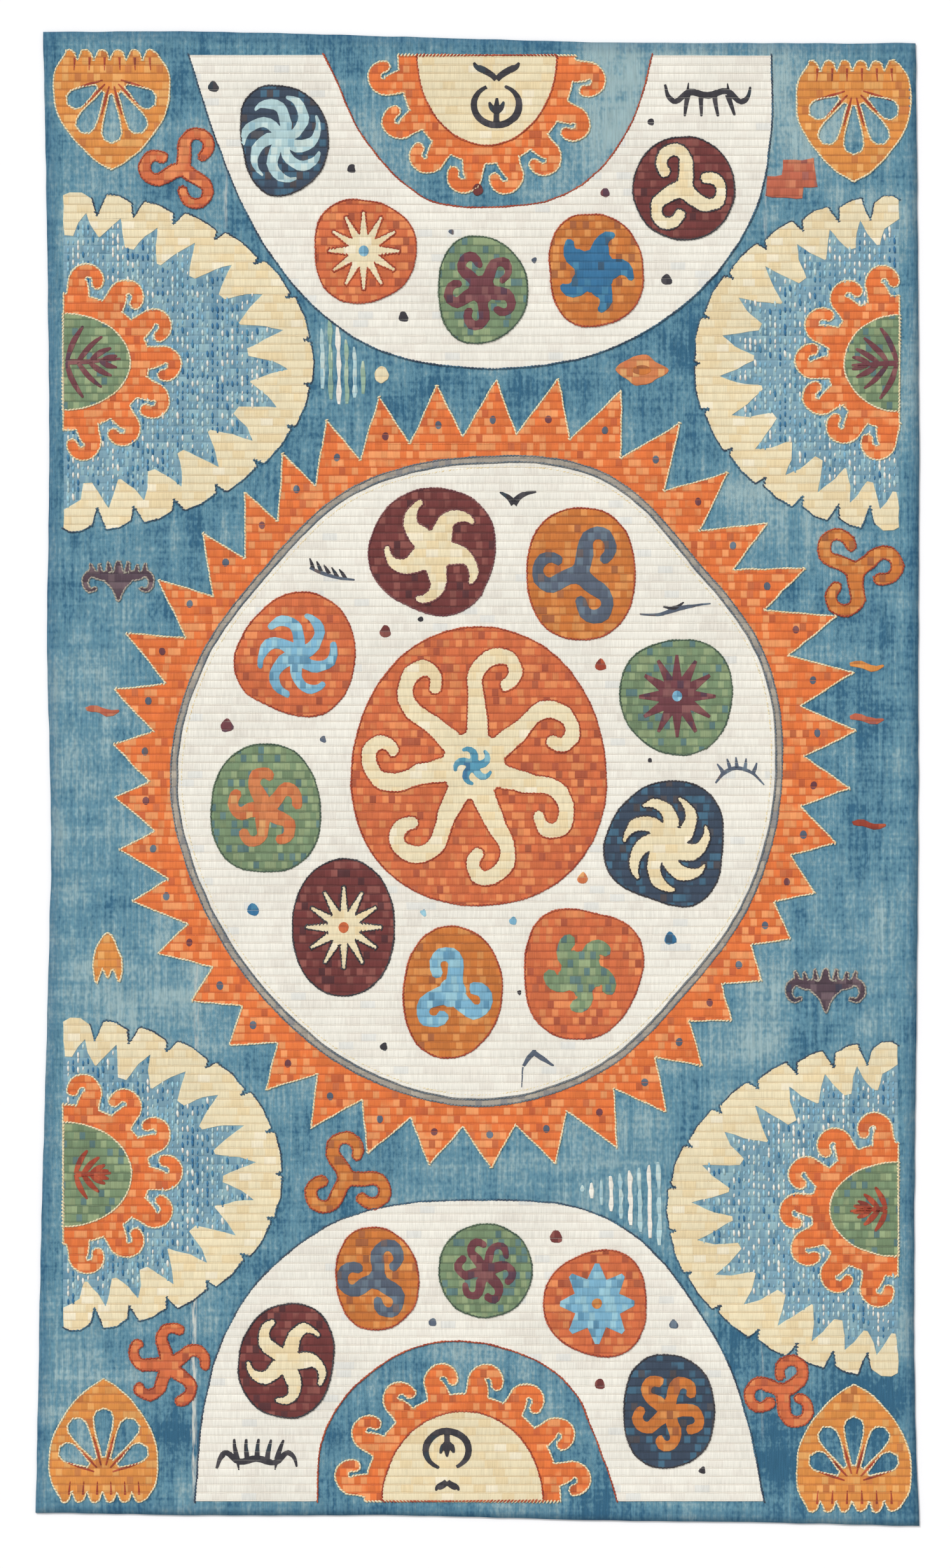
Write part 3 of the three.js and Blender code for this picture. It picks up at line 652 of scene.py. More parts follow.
def indigo_weave():
    """Plain weave dyed with indigo, uneven in its dye, with worn and slubbed yarns."""
    nodes, given = look("indigo weave", "Deep Middle Pale Worn Edge")
    spot, x, y = nodes.place()
    dye, hem = (nodes.values("ShaderNodeAttribute", attribute_name=name)[2]
                for name in ("dye", "hem"))
    warp = nodes.noise(spot, 1.0, 3.0, (330, 14, 1))
    weft = nodes.noise(spot, 1.0, 3.0, (16, 300, 1))
    cloud = nodes.noise(spot, 26.0, 4.0)
    speck = nodes.noise(spot, 1.0, 2.0, (420, 260, 1))
    tone = 0.5 * warp + 0.28 * weft + 0.42 * cloud + 0.4 * dye + 0.5 * (speck - 0.5)
    low = nodes.mix(nodes.ramp(tone, 0.42, 0.66), given["Deep"], given["Middle"])
    body = nodes.mix(nodes.ramp(tone, 0.62, 0.95), low, given["Pale"])
    rough = nodes.ramp(nodes.noise(spot, 1.0, 4.0, (500, 55, 1)), 0.4, 0.58)
    worn = 0.0
    for at, start, end, width, strength in STREAKS:
        off = (x - at * MM).math("ABSOLUTE")
        across = nodes.ramp(off, 0.2 * width * MM, width * MM, 1.0, 0.0)
        rise = nodes.ramp(y, start * MM, start * MM + FADE)
        fall = nodes.ramp(y, end * MM - FADE, end * MM, 1.0, 0.0)
        worn = (across * rise * (fall * rough) * strength).math("MAXIMUM", worn)
    body = nodes.mix(worn, body, given["Worn"])
    body = nodes.mix(0.5 * hem, body, given["Edge"])
    weave = (x * (2 * math.pi / WARP)).math("SINE") * (y * (2 * math.pi / WEFT)).math("SINE")
    slub = nodes.noise(spot, 1.0, 2.0, (1100, 60, 1))
    shade = nodes.ramp(slub, 0.3, 0.7, 0.88, 1.1) + 0.05 * weave
    return nodes.give({
        "Color": nodes.vector("SCALE", {0: body, 3: shade}), "Height": weave + 1.2 * slub,
        "Roughness": nodes.ramp(slub, 0.3, 0.7, 0.9, 0.78),
    })


def stitch_thread():
    """Twisted thread whose dye runs lighter and darker along it."""
    nodes, given = look("stitch thread", "Thread Faded")
    spot = nodes.place()[0]
    run = nodes.noise(spot, 60.0, 3.0)
    return nodes.give({
        "Color": nodes.mix(nodes.ramp(run, 0.4, 0.68), given["Thread"], given["Faded"]),
        "Roughness": nodes.ramp(run, 0.3, 0.7, 0.75, 0.55), "Height": nodes.noise(spot, 1500.0),
    })


def material(name, tree, values, bump, sheen=0.1, gloss=0.25):
    made = bpy.data.materials.new(name)
    made.use_nodes = True
    made.node_tree.nodes.clear()
    nodes = Nodes(made.node_tree)
    surface = nodes.add("ShaderNodeGroup", node_tree=tree)
    for key, value in values.items():
        surface.inputs[key].default_value = value
    tone, roughness, height = (Value(nodes, socket) for socket in surface.outputs)
    relief = nodes.value("ShaderNodeBump", {"Height": height, "Strength": 0.6, "Distance": bump})
    shader = nodes.value("ShaderNodeBsdfPrincipled", {
        "Base Color": tone, "Roughness": roughness, "Normal": relief,
        "Specular IOR Level": gloss, "Sheen Weight": sheen,
    })
    nodes.add("ShaderNodeOutputMaterial", {"Surface": shader})
    return made


# how long a run of one tint is, then the parts of flecks, sparks, lines and unevenness
TEXTURES = {
    "white": (11.0, 0.25, 0.04, 0.12, 0.03), "cream": (9.0, 0.3, 0.06, 0.2, 0.06),
    "orange": (4.7, 0.36, 0.07, 0.4, 0.22), "vermilion": (4.7, 0.3, 0.09, 0.36, 0.24),
    "ochre": (4.7, 0.3, 0.08, 0.4, 0.22), "green": (4.2, 0.35, 0.14, 0.4, 0.3),
    "maroon": (4.7, 0.25, 0.08, 0.4, 0.25), "sky": (4.2, 0.4, 0.12, 0.35, 0.15),
    "haze": (2.4, 0.3, 0.12, 0.1, 0.1),
}
PLAIN_TEXTURE = (4.7, 0.3, 0.08, 0.35, 0.2)


def silk_material(name):
    values = (*map(colour, SILKS[name]), *TEXTURES.get(name, PLAIN_TEXTURE))
    return material(f"{name} silk", silk_tree, dict(zip(" ".join(SILK_VALUES).split(), values)),
                    0.22 * MM)


def thread_material(kind, name, own=1.0):
    """Thread in the floss's colour and its flecks', or a couching one nearer to its line's."""
    floss, fleck, _, line = map(colour, SILKS[name])
    body = tuple(own * a + (1 - own) * b for a, b in zip(floss, line))
    return material(f"{name} {kind}", thread_tree, {
        "Thread": body, "Faded": fleck if kind == "thread" else floss,
    }, 0.1 * MM)


silk_tree, thread_tree = laid_silk(), stitch_thread()
silks = {name: silk_material(name) for name in SILKS}
threads = {name: thread_material("thread", name) for name in SILKS}
indigo = material("indigo weave", indigo_weave(), {
    "Deep": colour((58, 108, 138)), "Middle": colour((104, 152, 172)),
    "Pale": colour((166, 194, 198)), "Worn": colour((216, 220, 212)),
    "Edge": colour((44, 92, 126)),
}, 0.3 * MM, sheen=0.05, gloss=0.15)

# Meshes


BORDER = 0.005  # left free round a map


def new_piece(name, verts, edges, faces):
    """A piece at the origin, from millimetres."""
    mesh = bpy.data.meshes.new(name)
    mesh.from_pydata([(x * MM, y * MM, z * MM) for x, y, z in verts], edges, faces)
    piece = bpy.data.objects.new(name, mesh)
    bpy.context.scene.collection.objects.link(piece)
    return piece


def look_down(mesh):
    """Maps the mesh from above."""
    xs, ys = ([v.co[axis] for v in mesh.vertices] for axis in (0, 1))
    low_x, low_y = min(xs), min(ys)
    size = max(max(xs) - low_x, max(ys) - low_y)
    flat = []
    for loop in mesh.loops:
        x, y = xs[loop.vertex_index] - low_x, ys[loop.vertex_index] - low_y
        flat += [BORDER + (1 - 2 * BORDER) * way / size for way in (x, y)]
    mesh.uv_layers.new(name="OFBake").data.foreach_set("uv", flat)


ROW_PROFILE = [(0.0, -0.16), (0.2, 0.0), (0.5, 0.07), (0.8, 0.0), (1.0, -0.16)]
SLOPE = 0.35  # how far the floss draws in from its edge to its full height
SUNK = 0.2  # how far it goes into the silk that it lies on


def puff(y):
    """How high the floss stands at y, between two couched threads."""
    part = y / ROW_PITCH % 1
    for (a, low), (b, high) in zip(ROW_PROFILE, ROW_PROFILE[1:]):
        if part <= b:
            return low + (high - low) * (part - a) / (b - a)
    return 0.0


class Silkwork:
    """One piece of laid silk: pads of floss, in several colours, one above another."""

    def __init__(self, name):
        self.name = name
        self.verts, self.faces, self.indices, self.slots = [], [], [], []

    def lay(self, outlines, silk, on=CLOTH, high=FIELD, holes=()):
        """Lays floss inside the outlines, on what is that high, and returns its rims."""
        points, edges, loops = [], [], []
        for outline in (*outlines, *holes):
            area = sum((a.conjugate() * b).imag for a, b in sides(outline))
            loops.append(list(range(len(points), len(points) + len(outline))))
            points += [Vector((p.real, p.imag)) for p in outline[::1 if area > 0 else -1]]
        xs, ys = [p.x for p in points], [p.y for p in points]
        for k in range(int(min(ys) // ROW_PITCH), int(max(ys) // ROW_PITCH) + 1):
            for part, _ in ROW_PROFILE[:-1]:
                y = (k + part) * ROW_PITCH
                if min(ys) < y < max(ys):
                    edges.append((len(points), len(points) + 1))
                    points += [Vector((min(xs) - 1, y)), Vector((max(xs) + 1, y))]
        found = delaunay_2d_cdt(points, edges, loops, 0, 1e-4, True)
        inside = set(range(len(outlines)))
        tris = [tri for tri, ids in zip(found[2], found[5])
                if inside.intersection(ids) and inside.issuperset(ids)]
        low = GROUND if on == CLOTH else on - SUNK
        return self.pad(found[0], tris, silk, low, high)

    def pad(self, flat, tris, silk, low, high):
        """A pad over flat triangles, whose edge slopes down to low."""
        pairs = dict.fromkeys(pair for tri in tris for pair in sides(tri))
        border = [pair for pair in pairs if pair[::-1] not in pairs]
        inward = {}
        for a, b in border:
            along = (flat[b] - flat[a]).normalized()
            for v in (a, b):
                inward.setdefault(v, []).append(Vector((-along.y, along.x)))
        used = sorted({v for tri in tris for v in tri})
        place = {v: len(self.verts) + i for i, v in enumerate(used)}
        for v in used:
            x, y = flat[v]
            if v in inward:
                both = sum(inward[v], Vector((0, 0)))
                if both.length > 1e-6:
                    step = SLOPE * min(1.5, len(inward[v]) / both.length)
                    x += both.normalized().x * step
                    y += both.normalized().y * step
            self.verts.append((x, y, high + puff(y)))
        foot = {v: len(self.verts) + i for i, v in enumerate(inward)}
        self.verts += [(*flat[v], low) for v in inward]
        if silk not in self.slots:
            self.slots.append(silk)
        new = [[place[v] for v in tri] for tri in tris]
        new += [[foot[a], foot[b], place[b], place[a]] for a, b in border]
        self.faces += new
        self.indices += [self.slots.index(silk)] * len(new)
        after = dict(border)
        rims = []
        while after:
            start, v = after.popitem()
            loop = [start]
            while v in after:
                loop.append(v)
                v = after.pop(v)
            rims.append([complex(*flat[v]) for v in loop])
        return rims

    def done(self):
        piece = new_piece(self.name, self.verts, [], self.faces)
        for silk in self.slots:
            piece.data.materials.append(silks[silk])
        piece.data.polygons.foreach_set("material_index", self.indices)
        look_down(piece.data)
        return piece


# Stitches grown along lines


def grower(name, sizes, seeded=True):
    """The nodes of a geometry group that is given points and lines, sizes and a material."""
    inputs = [("Geometry", GEOMETRY), *((size, NUMBER) for size in sizes.split())]
    inputs += [("Seed", "NodeSocketInt")] * seeded + [("Material", "NodeSocketMaterial")]
    return group("GeometryNodeTree", name, inputs, [("Geometry", GEOMETRY)])


def dressed(nodes, given, geometry):
    real = nodes.value("GeometryNodeRealizeInstances", {0: geometry})
    soft = nodes.value("GeometryNodeSetShadeSmooth", {"Geometry": real})
    return nodes.give({"Geometry": nodes.value(
        "GeometryNodeSetMaterial", {"Geometry": soft, "Material": given["Material"]})})


def stitches(name, low, high, in_rows):
    """Slanted stitches of uneven size, in rows along every line or one on every point."""
    nodes, given = grower(name, "Length Width Thickness Spacing Slant Spread")
    spots, facing = given["Geometry"], (0, 0, 0)
    if in_rows:
        line = nodes.value("GeometryNodeMeshToCurve", {"Mesh": spots})
        spots, along, *_ = nodes.values("GeometryNodeCurveToPoints", {
            "Curve": line, "Length": given["Spacing"],
        }, mode="LENGTH")
        facing = nodes.value("FunctionNodeAlignRotationToVector", {"Vector": along},
                             axis="X", pivot_axis="Z")

    def chance(low, high):
        values = {2: low, 3: high, "Seed": given["Seed"]}
        return nodes.values("FunctionNodeRandomValue", values, data_type="FLOAT")[1]

    turn = nodes.value("FunctionNodeAxisAngleToRotation", {
        "Axis": (0, 0, 1), "Angle": given["Slant"] + chance(-1.0, 1.0) * given["Spread"],
    })
    rotation = nodes.value("FunctionNodeRotateRotation", {0: facing, 1: turn},
                           rotation_space="LOCAL")
    ball = nodes.value("GeometryNodeMeshIcoSphere", {"Radius": 0.5, "Subdivisions": 1})
    size = nodes.value("ShaderNodeCombineXYZ",
                       {0: given["Length"], 1: given["Width"], 2: given["Thickness"]})
    stitch = nodes.value("GeometryNodeTransform", {"Geometry": ball, "Scale": size})
    return dressed(nodes, given, nodes.value("GeometryNodeInstanceOnPoints", {
        "Points": spots, "Instance": stitch, "Rotation": rotation, "Scale": chance(low, high),
    }))


def couched_threads():
    """A thread along every line of the mesh, pressed a little out of true."""
    nodes, given = grower("couched thread", "Width Spacing Wander", seeded=False)
    line = nodes.value("GeometryNodeMeshToCurve", {"Mesh": given["Geometry"]})
    even = nodes.value("GeometryNodeResampleCurve", {"Curve": line, "Length": given["Spacing"]},
                       mode="LENGTH")
    spot = nodes.value("GeometryNodeInputPosition")
    drift = nodes.values("ShaderNodeTexNoise", {"Vector": spot, "Scale": 120.0})[1]
    centred = nodes.vector("SUBTRACT", {0: drift, 1: (0.5, 0.5, 0.5)})
    flat = nodes.vector("MULTIPLY", {0: centred, 1: (1, 1, 0.2)})
    offset = nodes.vector("SCALE", {0: flat, 3: given["Wander"]})
    moved = nodes.value("GeometryNodeSetPosition", {"Geometry": even, "Offset": offset})
    section = nodes.value("GeometryNodeCurvePrimitiveCircle", {
        "Resolution": 4, "Radius": 0.5 * given["Width"],
    }, mode="RADIUS")
    return dressed(nodes, given, nodes.value("GeometryNodeCurveToMesh", {
        "Curve": moved, "Profile Curve": section, "Fill Caps": True,
    }))


def grown(name, tree, verts, edges, values):
    """The mesh that a tree makes of these points and lines, as a plain piece."""
    piece = new_piece(name, verts, edges, [])
    maker = piece.modifiers.new(tree.name, "NODES")
    maker.node_group = tree
    for item in tree.interface.items_tree:
        if item.in_out == "INPUT" and item.name in values:
            maker[item.identifier] = values[item.name]
    shown = piece.evaluated_get(bpy.context.evaluated_depsgraph_get())
    real = bpy.data.meshes.new_from_object(shown)
    piece.modifiers.clear()
    piece.data = real
    look_down(real)
    return piece


stitch_row = stitches("stitch row", 0.85, 1.15, True)
seed_stitch = stitches("seed stitch", 0.6, 1.25, False)
couched_thread = couched_threads()


class Lines:
    """Lines of one thread that are stitched together as a piece."""

    def __init__(self):
        self.verts, self.edges = [], []

    def draw(self, points, z, closed=False):
        first = len(self.verts)
        self.verts += [(p.real, p.imag, z + puff(p.imag) * 0.5) for p in points]
        last = len(self.verts) - 1
        self.edges += [(i, i + 1) for i in range(first, last)]
        if closed:
            self.edges.append((last, first))


# The ground cloth


EDGE_FALL = 0.3  # how much lower the cloth's edge lies than its hem


def edge_line(points, count):
    """count + 1 points, evenly spread along a smooth line, as a hand cuts it."""
    line = smooth(points, 12)
    lengths = [0.0]
    for a, b in zip(line, line[1:]):
        lengths.append(lengths[-1] + abs(b - a))
    spots, i = [], 0
    for k in range(count + 1):
        want = lengths[-1] * k / count
        while i < len(line) - 2 and lengths[i + 1] < want:
            i += 1
        t = (want - lengths[i]) / max(lengths[i + 1] - lengths[i], 1e-9)
        spots.append(line[i] + (line[i + 1] - line[i]) * t)
    return uneven(spots, 0.5, 19)


def ground_cloth():
    """The closed sheet of cloth with its turned hem."""
    across, down = 132, 220
    top, foot = (edge_line([
        CORNERS[f"{end} left"], *(complex(row[0], row[k]) for row in END_EDGES),
        CORNERS[f"{end} right"],
    ], across) for k, end in ((1, "top"), (2, "bottom")))
    left, right = (edge_line([
        CORNERS[f"bottom {side}"], *(complex(row[k], row[0]) for row in reversed(SIDE_EDGES)),
        CORNERS[f"top {side}"],
    ], down) for k, side in ((1, "left"), (2, "right")))
    verts, dye, hem = [], [], []
    for under in (False, True):
        for j in range(down + 1):
            v = j / down
            for i in range(across + 1):
                u = i / across
                spot = (1 - v) * foot[i] + v * top[i] + (1 - u) * left[j] + u * right[j]
                spot -= (1 - u) * ((1 - v) * foot[0] + v * top[0])
                spot -= u * ((1 - v) * foot[-1] + v * top[-1])
                inset = min(i, across - i, j, down - j)
                ripple = 0.12 * noise.noise(Vector((spot.real / 46, spot.imag / 60, 0.5)))
                height = (HEM if inset <= 1 else CLOTH) + ripple - (0 if inset else EDGE_FALL)
                verts.append((spot.real, spot.imag, 0.0 if under else height))
                dye.append(abrash(spot))
                hem.append({0: 1.0, 1: 0.55}.get(inset, 0.0))
    row, layer = across + 1, (across + 1) * (down + 1)
    faces = []
    for j in range(down):
        for i in range(across):
            a = j * row + i
            faces.append((a, a + 1, a + row + 1, a + row))
            faces.append((layer + a, layer + a + row, layer + a + row + 1, layer + a + 1))
    rim = [*range(row), *range(2 * row - 1, layer, row), *range(layer - 2, layer - row - 1, -1),
           *range(layer - 2 * row, 0, -row)]
    faces += [(b, a, a + layer, b + layer) for a, b in sides(rim)]
    piece = new_piece("ground_cloth", verts, [], faces)
    piece.data.materials.append(indigo)
    piece.data.shade_smooth()
    look_down(piece.data)
    for name, values in (("dye", dye), ("hem", hem)):
        piece.data.attributes.new(name, "FLOAT", "POINT").data.foreach_set("value", values)
    return piece


def abrash(spot):
    """How pale the dye is there, about nought."""
    waves = sum(gain * noise.noise(Vector((spot.real / wide, spot.imag / high, at)))
                for gain, wide, high, at in DYE_WAVES)
    pale = sum(gain * math.exp(-(abs(spot - place) / reach) ** 2)
               for place, reach, gain in DYE_SPOTS)
    return waves + 0.5 * pale + 0.06


# The embroidery

lines, couched = {}, {}


def draw(thread, region, loops, z=FIELD, closed=True):
    """Keeps lines that one thread stitches round one region."""
    made = lines.setdefault((thread, region), Lines())
    for loop in loops:
        if len(loop) > 2:
            made.draw(loop, z, closed)


def spans(y, outlines):
    """Where a row at y runs inside the outlines."""
    found = []
    for outline in outlines:
        cuts = sorted(a.real + (y - a.imag) * (b.real - a.real) / (b.imag - a.imag)
                      for a, b in sides(outline) if (a.imag > y) != (b.imag > y))
        found += zip(cuts[::2], cuts[1::2])
    merged = []
    for low, high in sorted(found):
        if merged and low <= merged[-1][1]:
            merged[-1] = (merged[-1][0], max(high, merged[-1][1]))
        else:
            merged.append((low, high))
    return merged


def couch(silk, outlines, covers=(), z=FIELD):
    """Lays couched threads along the rows of a field, beside what covers it."""
    made = couched.setdefault(silk, Lines())
    ys = [p.imag for outline in outlines for p in outline]
    for k in range(int(min(ys) // ROW_PITCH) + 1, int(max(ys) // ROW_PITCH) + 1):
        y = k * ROW_PITCH
        shut = spans(y, covers)
        for low, high in spans(y, outlines):
            for start, end in [*(s for s in shut if s[1] > low and s[0] < high), (high, high)]:
                if start - low > 3:
                    made.draw([complex(low + 1, y), complex(start - 1, y)], z)
                low = max(low, end)


def roundel_edge(row):
    return uneven(roundel(*row[:8]))


def white_field(work, field, high):
    """Lays a white field whose couched threads stop at the roundels."""
    work.lay([field], "white", high=high)
    couch("white", [field], [roundel_edge(row) for row in ROUNDELS], high)


def horseshoe(name, outer_rows, inner_rows):
    outer, inner = rough([arch(outer_rows), arch(inner_rows)])
    work = Silkwork(name)
    white_field(work, [*outer, *reversed(inner)], FIELD)
    draw("rust", name, [inner], closed=False)
    draw("navy", name, [outer], closed=False)
    return work.done()


def sun():
    work, disc = Silkwork("sunburst"), Silkwork("white_disc")
    teeth = uneven(sunburst(), 0.8)
    rim, under = sun_disc(SUN_RIM), sun_disc(-SUN_UNDER)
    draw("cream", "sun", work.lay([teeth], "orange", holes=[under]))
    couch("orange", [teeth], [rim])
    for i in range(SUN_TEETH):
        seed = sun_tip(i, SUN_SEED)
        work.lay([uneven(roundel(seed.real, seed.imag, 5.4, 6.5, steps=10))],
                 "slate" if i % 3 else "plum", FIELD, FIELD + 0.2)
    rim = uneven(rim, 0.5)
    work.lay([rim], "taupe", FIELD, FIELD + 0.12, [under])
    white_field(disc, uneven(sun_disc()), DISC)
    draw("grey", "sun", [uneven(sun_disc(0.6))], DISC)
    draw("grey", "sun", [rim], FIELD + 0.1)
    return [work.done(), disc.done()]


DASH_COLUMN, DASH_ROW = 3.7, 5.6  # from one dash to the next
DASH_INSET = (16, 20)  # how far they stay inside a ring, along the margin and inward
HAZE_INSET = (15, 18)
chance = random.Random(11)
dashes = {name: [] for name in ("white", "pale", "sky", "cobalt")}


def strew(along, inward, place, turn, covers):
    """Upright dashes in columns over half an ellipse, beside what covers it."""
    for column in range(-60, 61):
        own = chance.choice(tuple(dashes))
        for row in range(-60, 61):
            spot = complex(column * DASH_COLUMN, row * DASH_ROW + chance.uniform(-1.5, 1.5))
            local = spot * polar(1, -turn)
            x, y = (place + spot).real, (place + spot).imag
            if local.imag < 2 or (local.real / along) ** 2 + (local.imag / inward) ** 2 > 1:
                continue
            if any(low - 1 < x < high + 1 for low, high in spans(y, covers)):
                continue
            if chance.random() < 0.9:
                silk = own if chance.random() < 0.5 else chance.choice(tuple(dashes))
                dashes[silk].append((x, y, CLOTH + 0.3))


def half_medallion(number, place, facing, count, hand, eye, band, ring, teeth):
    name = f"half_medallion_{number}"
    work = Silkwork(name)

    def put(outline, amount=0.6):
        return uneven(placed(outline, place, facing), amount)

    if ring:
        haze = half_round(*(length - inset for length, inset in zip(ring, HAZE_INSET)))
        work.lay([put(haze)], "haze", high=CLOTH + 0.2)
    parts = [put(half_round(*band)), *(put(hook) for hook in hooks_round(*band, count, hand))]
    draw("cream", name, work.lay(parts, "orange"))
    edge = put(half_round(*eye))
    silk, line = ("green", "cream") if ring else ("cream", "rust")
    work.lay([edge], silk, FIELD, EYE)
    draw(line, name, [edge], EYE)
    couch("orange", parts, [edge])
    couch(silk, [edge], z=EYE)
    if ring:
        outer, inner = serrated_ring(*ring, teeth)
        outline = put(dense([*outer, *inner], RING_STEP), 0.9)
        work.lay([outline], "cream")
        on_margin = int(2 * ring[0] / RING_STEP) + 2  # points of the outer line
        line = put(dense(outer, RING_STEP), 0.9)[:-on_margin]
        draw("navy", name, [line], CLOTH + 0.3, False)
        couch("cream", [outline])
        zone = (length - inset for length, inset in zip(ring, DASH_INSET))
        strew(*zone, place, facing, [*parts, outline])
        silk, size = ("plum", 1) if place.imag > 0 else ("rust", 0.62)
        for part in sprig(eye, size):
            work.lay([put(part)], silk, EYE, EYE + 0.3)
    return work.done()


def sprig(eye, size):
    """A rib with leaves in pairs that lies over half an eye, from its foot on the margin."""
    along, inward = (length * size for length in eye)
    lift = complex(0, eye[1] * (1 - size) * 0.4)
    parts = [arm(2j + lift, 90, [5, 4, 3.2, 2.2], [(inward * 0.8, 6, 5)])]
    for i, (share, lean) in enumerate(((0.8, 78), (0.7, 60), (0.52, 46), (0.34, 34))):
        foot = lift + complex(0, inward * (0.05 + 0.17 * i))
        for side in (-1, 1):
            bends = [(along * share, 26, 5)]
            parts.append(arm(foot, 90 - side * lean, [3, 4.6, 4.4, 2.4], bends, side))
    return parts


def roundel_piece(number, row):
    x, y, *_ = row
    ground, silk, line, (kind, *motif) = row[8:]
    work = Silkwork(f"roundel_{number}")
    region, on = ("disc", DISC) if abs(y) < 300 else ("ends", FIELD)
    edge = roundel_edge(row)
    work.lay([edge], ground, on, ROUND)
    draw(line, region, [edge], ROUND)
    centre, core, hub = complex(x, y), "teal", []
    if kind == "star":
        *rays, core = motif
        parts = [uneven(star(centre, *rays, MOTIF_STRETCH))]
        hub = [roundel(x, y, 8, 8.5, steps=12)]
    else:
        if number == len(ROUNDELS):
            centre += CENTRE_SHIFT
            hub = whirl(centre, 5, 80, 4, [6, 6, 3], [(4, 20, 2), (10, 110, 4)])
        parts = rough(whirl(centre, *motif, MOTIF_STRETCH), 1.5, 10)
    rims = work.lay(parts, silk, ROUND, WHIRL)
    # Dark stitches round a cream motif, in the roundel's line colour: partly its outline, partly
    # painted shade along its edges.
    if silk == "cream":
        draw(line, region, rims, ROUND + 0.1)
    if hub:
        work.lay(rough(hub, 0.4), core, WHIRL, WHIRL + 0.2)
    couch(ground, [edge], parts, ROUND)
    return work.done()


def palmette_piece(number, base, width, length, points):
    """A pointed leaf with slots that fan out from its foot, and a ragged base."""
    work = Silkwork(f"palmette_{number}")
    focus = complex(0, 0.2 * length)

    def fan(angle, start, widths, reach, amount):
        strip = arm(focus + polar(start, angle), angle, widths, [(reach, 0, 4)])
        return uneven(placed(strip, base, up=points), amount)

    edge = uneven(dense(palmette(base, width, length, points), 4), 0.8)
    slots = [fan(angle, 13, [3, 7.5, 13, 15], reach - 19, 0.6) for angle, reach in PALMETTE_SLOTS]
    draw("cream", "palmettes", work.lay([edge], "amber", holes=slots))
    couch("amber", [edge], slots)
    marks = [fan(angle, 7, [1.4, 2.4, 1.2], 22, 0.3) for angle in (18, 46, 75, 105, 134, 162)]
    for across in (-0.32, -0.19, -0.06, 0.07, 0.2, 0.33):
        foot = base + complex(across * width, 0.03 * length * points)
        bends = [(0.11 * length, 20 * across, 3)]
        marks.append(uneven(arm(foot, 90 * points, [2.2, 1.0], bends), 0.3))
    for mark in marks:
        work.lay([mark], "rust", FIELD, FIELD + 0.25)
    return work.done()


def course(spots):
    """A smooth line through the spots, with its headings."""
    line = smooth(spots, 4)
    headings = [math.degrees(cmath.phase(b - a)) for a, b in zip(line, line[1:])]
    return list(zip(line, [*headings, headings[-1]]))


def winged_leaf(place, size):
    parts = [smooth(LEAF_BODY, 3, True)]
    for side in (-1, 1):
        wing = course([complex(p.real * side, p.imag) for p in LEAF_WING])
        parts.append(ribbon(wing, [8, 5.5, 5.5, 4, 2.6]))
        for x, y in ((7, 5), (14, 3), (20, 4)):
            parts.append(arm(complex(x * side, y), 90 - 0.6 * side * x, [4.8, 2], [(7, 0, 2)]))
    return rough([[place + p * size for p in part] for part in parts], 0.5, 6)


def strays():
    """What is strewn on the blue: whirls, winged leaves, wavy dashes, bars and patches."""
    work = Silkwork("strewn_motifs")
    for place, size, arms, first, hand, silk in STRAY_WHIRLS:
        slim, curl = (0.95, 150) if arms > 3 else (1, 245)
        bends = [(0.42 * size, 15, 3), (1.25 * size * slim * curl / 245, -curl * hand, 11)]
        widths = [share * size * slim for share in (0.34, 0.26, 0.24)]
        parts = rough(whirl(place, arms, first, 0.1 * size, widths, bends), 1.1, 7)
        draw("rust", "strewn", work.lay(parts, silk))
    for place, size in WINGED_LEAVES:
        draw("taupe", "strewn", work.lay(winged_leaf(place, size), "dusk"))
    for spot, silk in WAVY_DASHES:
        dash = arm(spot - 12, 20, [2.5, 6, 4.6, 5.6, 2.4], [(12, -50, 3), (13, 60, 3)])
        work.lay([uneven(dash, 0.8, 5)], silk, high=FIELD - 0.1)
    work.lay([uneven(roundel(0.3, 438, 8, 9), 1, 4)], "maroon", high=FIELD + 0.3)
    lens = uneven(smooth(placed(LENS, 122.3 + 304.1j), 4, True), 1.4, 7)
    work.lay([lens], "apricot", high=FIELD - 0.1)
    work.lay([uneven(roundel(122, 304, 14, 7))], "ochre", FIELD - 0.1, FIELD + 0.1)
    work.lay([uneven(dense(placed(FLAG, 233.9 + 445.1j)), 1.5, 8)], "brick")
    work.lay([uneven(roundel(-71.2, 300.4, 11, 13), 1.2, 5)], "cream")
    for x, low, high, silk in BARS:
        bends = [(high - low, 2, max(2, int((high - low) / 5)))]
        bar = arm(complex(x, low), 90, [2.2, 4.2, 2.6, 3.8, 2.4, 4.2, 2], bends)
        work.lay([uneven(bar, 0.9, 5)], silk, high=CLOTH + 0.35)
    bell = uneven(smooth(placed(BELL, -275 - 133.4j), 3, True), 0.8, 7)
    draw("cream", "strewn", work.lay([bell], "amber"))
    return work.done()


def horns(work, centre, radius, turn, spread, rise):
    """A ring of horns that is open at its top, with a sprout inside and a bird above."""
    bends = [(2 * math.pi * radius * 310 / 360, 310, 24)]
    ring = arm(polar(radius, 115), 205, [3.2, 5.5, 6, 5.5, 3.2], bends)
    parts = [[complex(p.real, 0.88 * p.imag) for p in ring],
             arm(-0.9j * radius, 90, [6, 4, 5.5, 2.5], [(1.15 * radius, 0, 4)])]
    for side in (-1, 1):
        bends = [(radius * 0.5, 50, 4)]
        parts.append(arm(-0.3j * radius, 90 - 62 * side, [5, 5, 2.5], bends, side))
        bends = [(spread, -30, 4), (0.3 * spread, 60, 3)]
        parts.append(arm(1j * rise * radius, 90 - 42 * side, [4.5, 5.5, 2.4], bends, side))
    shapes = rough([placed(part, centre, turn) for part in parts], 0.5, 7)
    work.lay(shapes, "charcoal", EYE, EYE + 0.35)


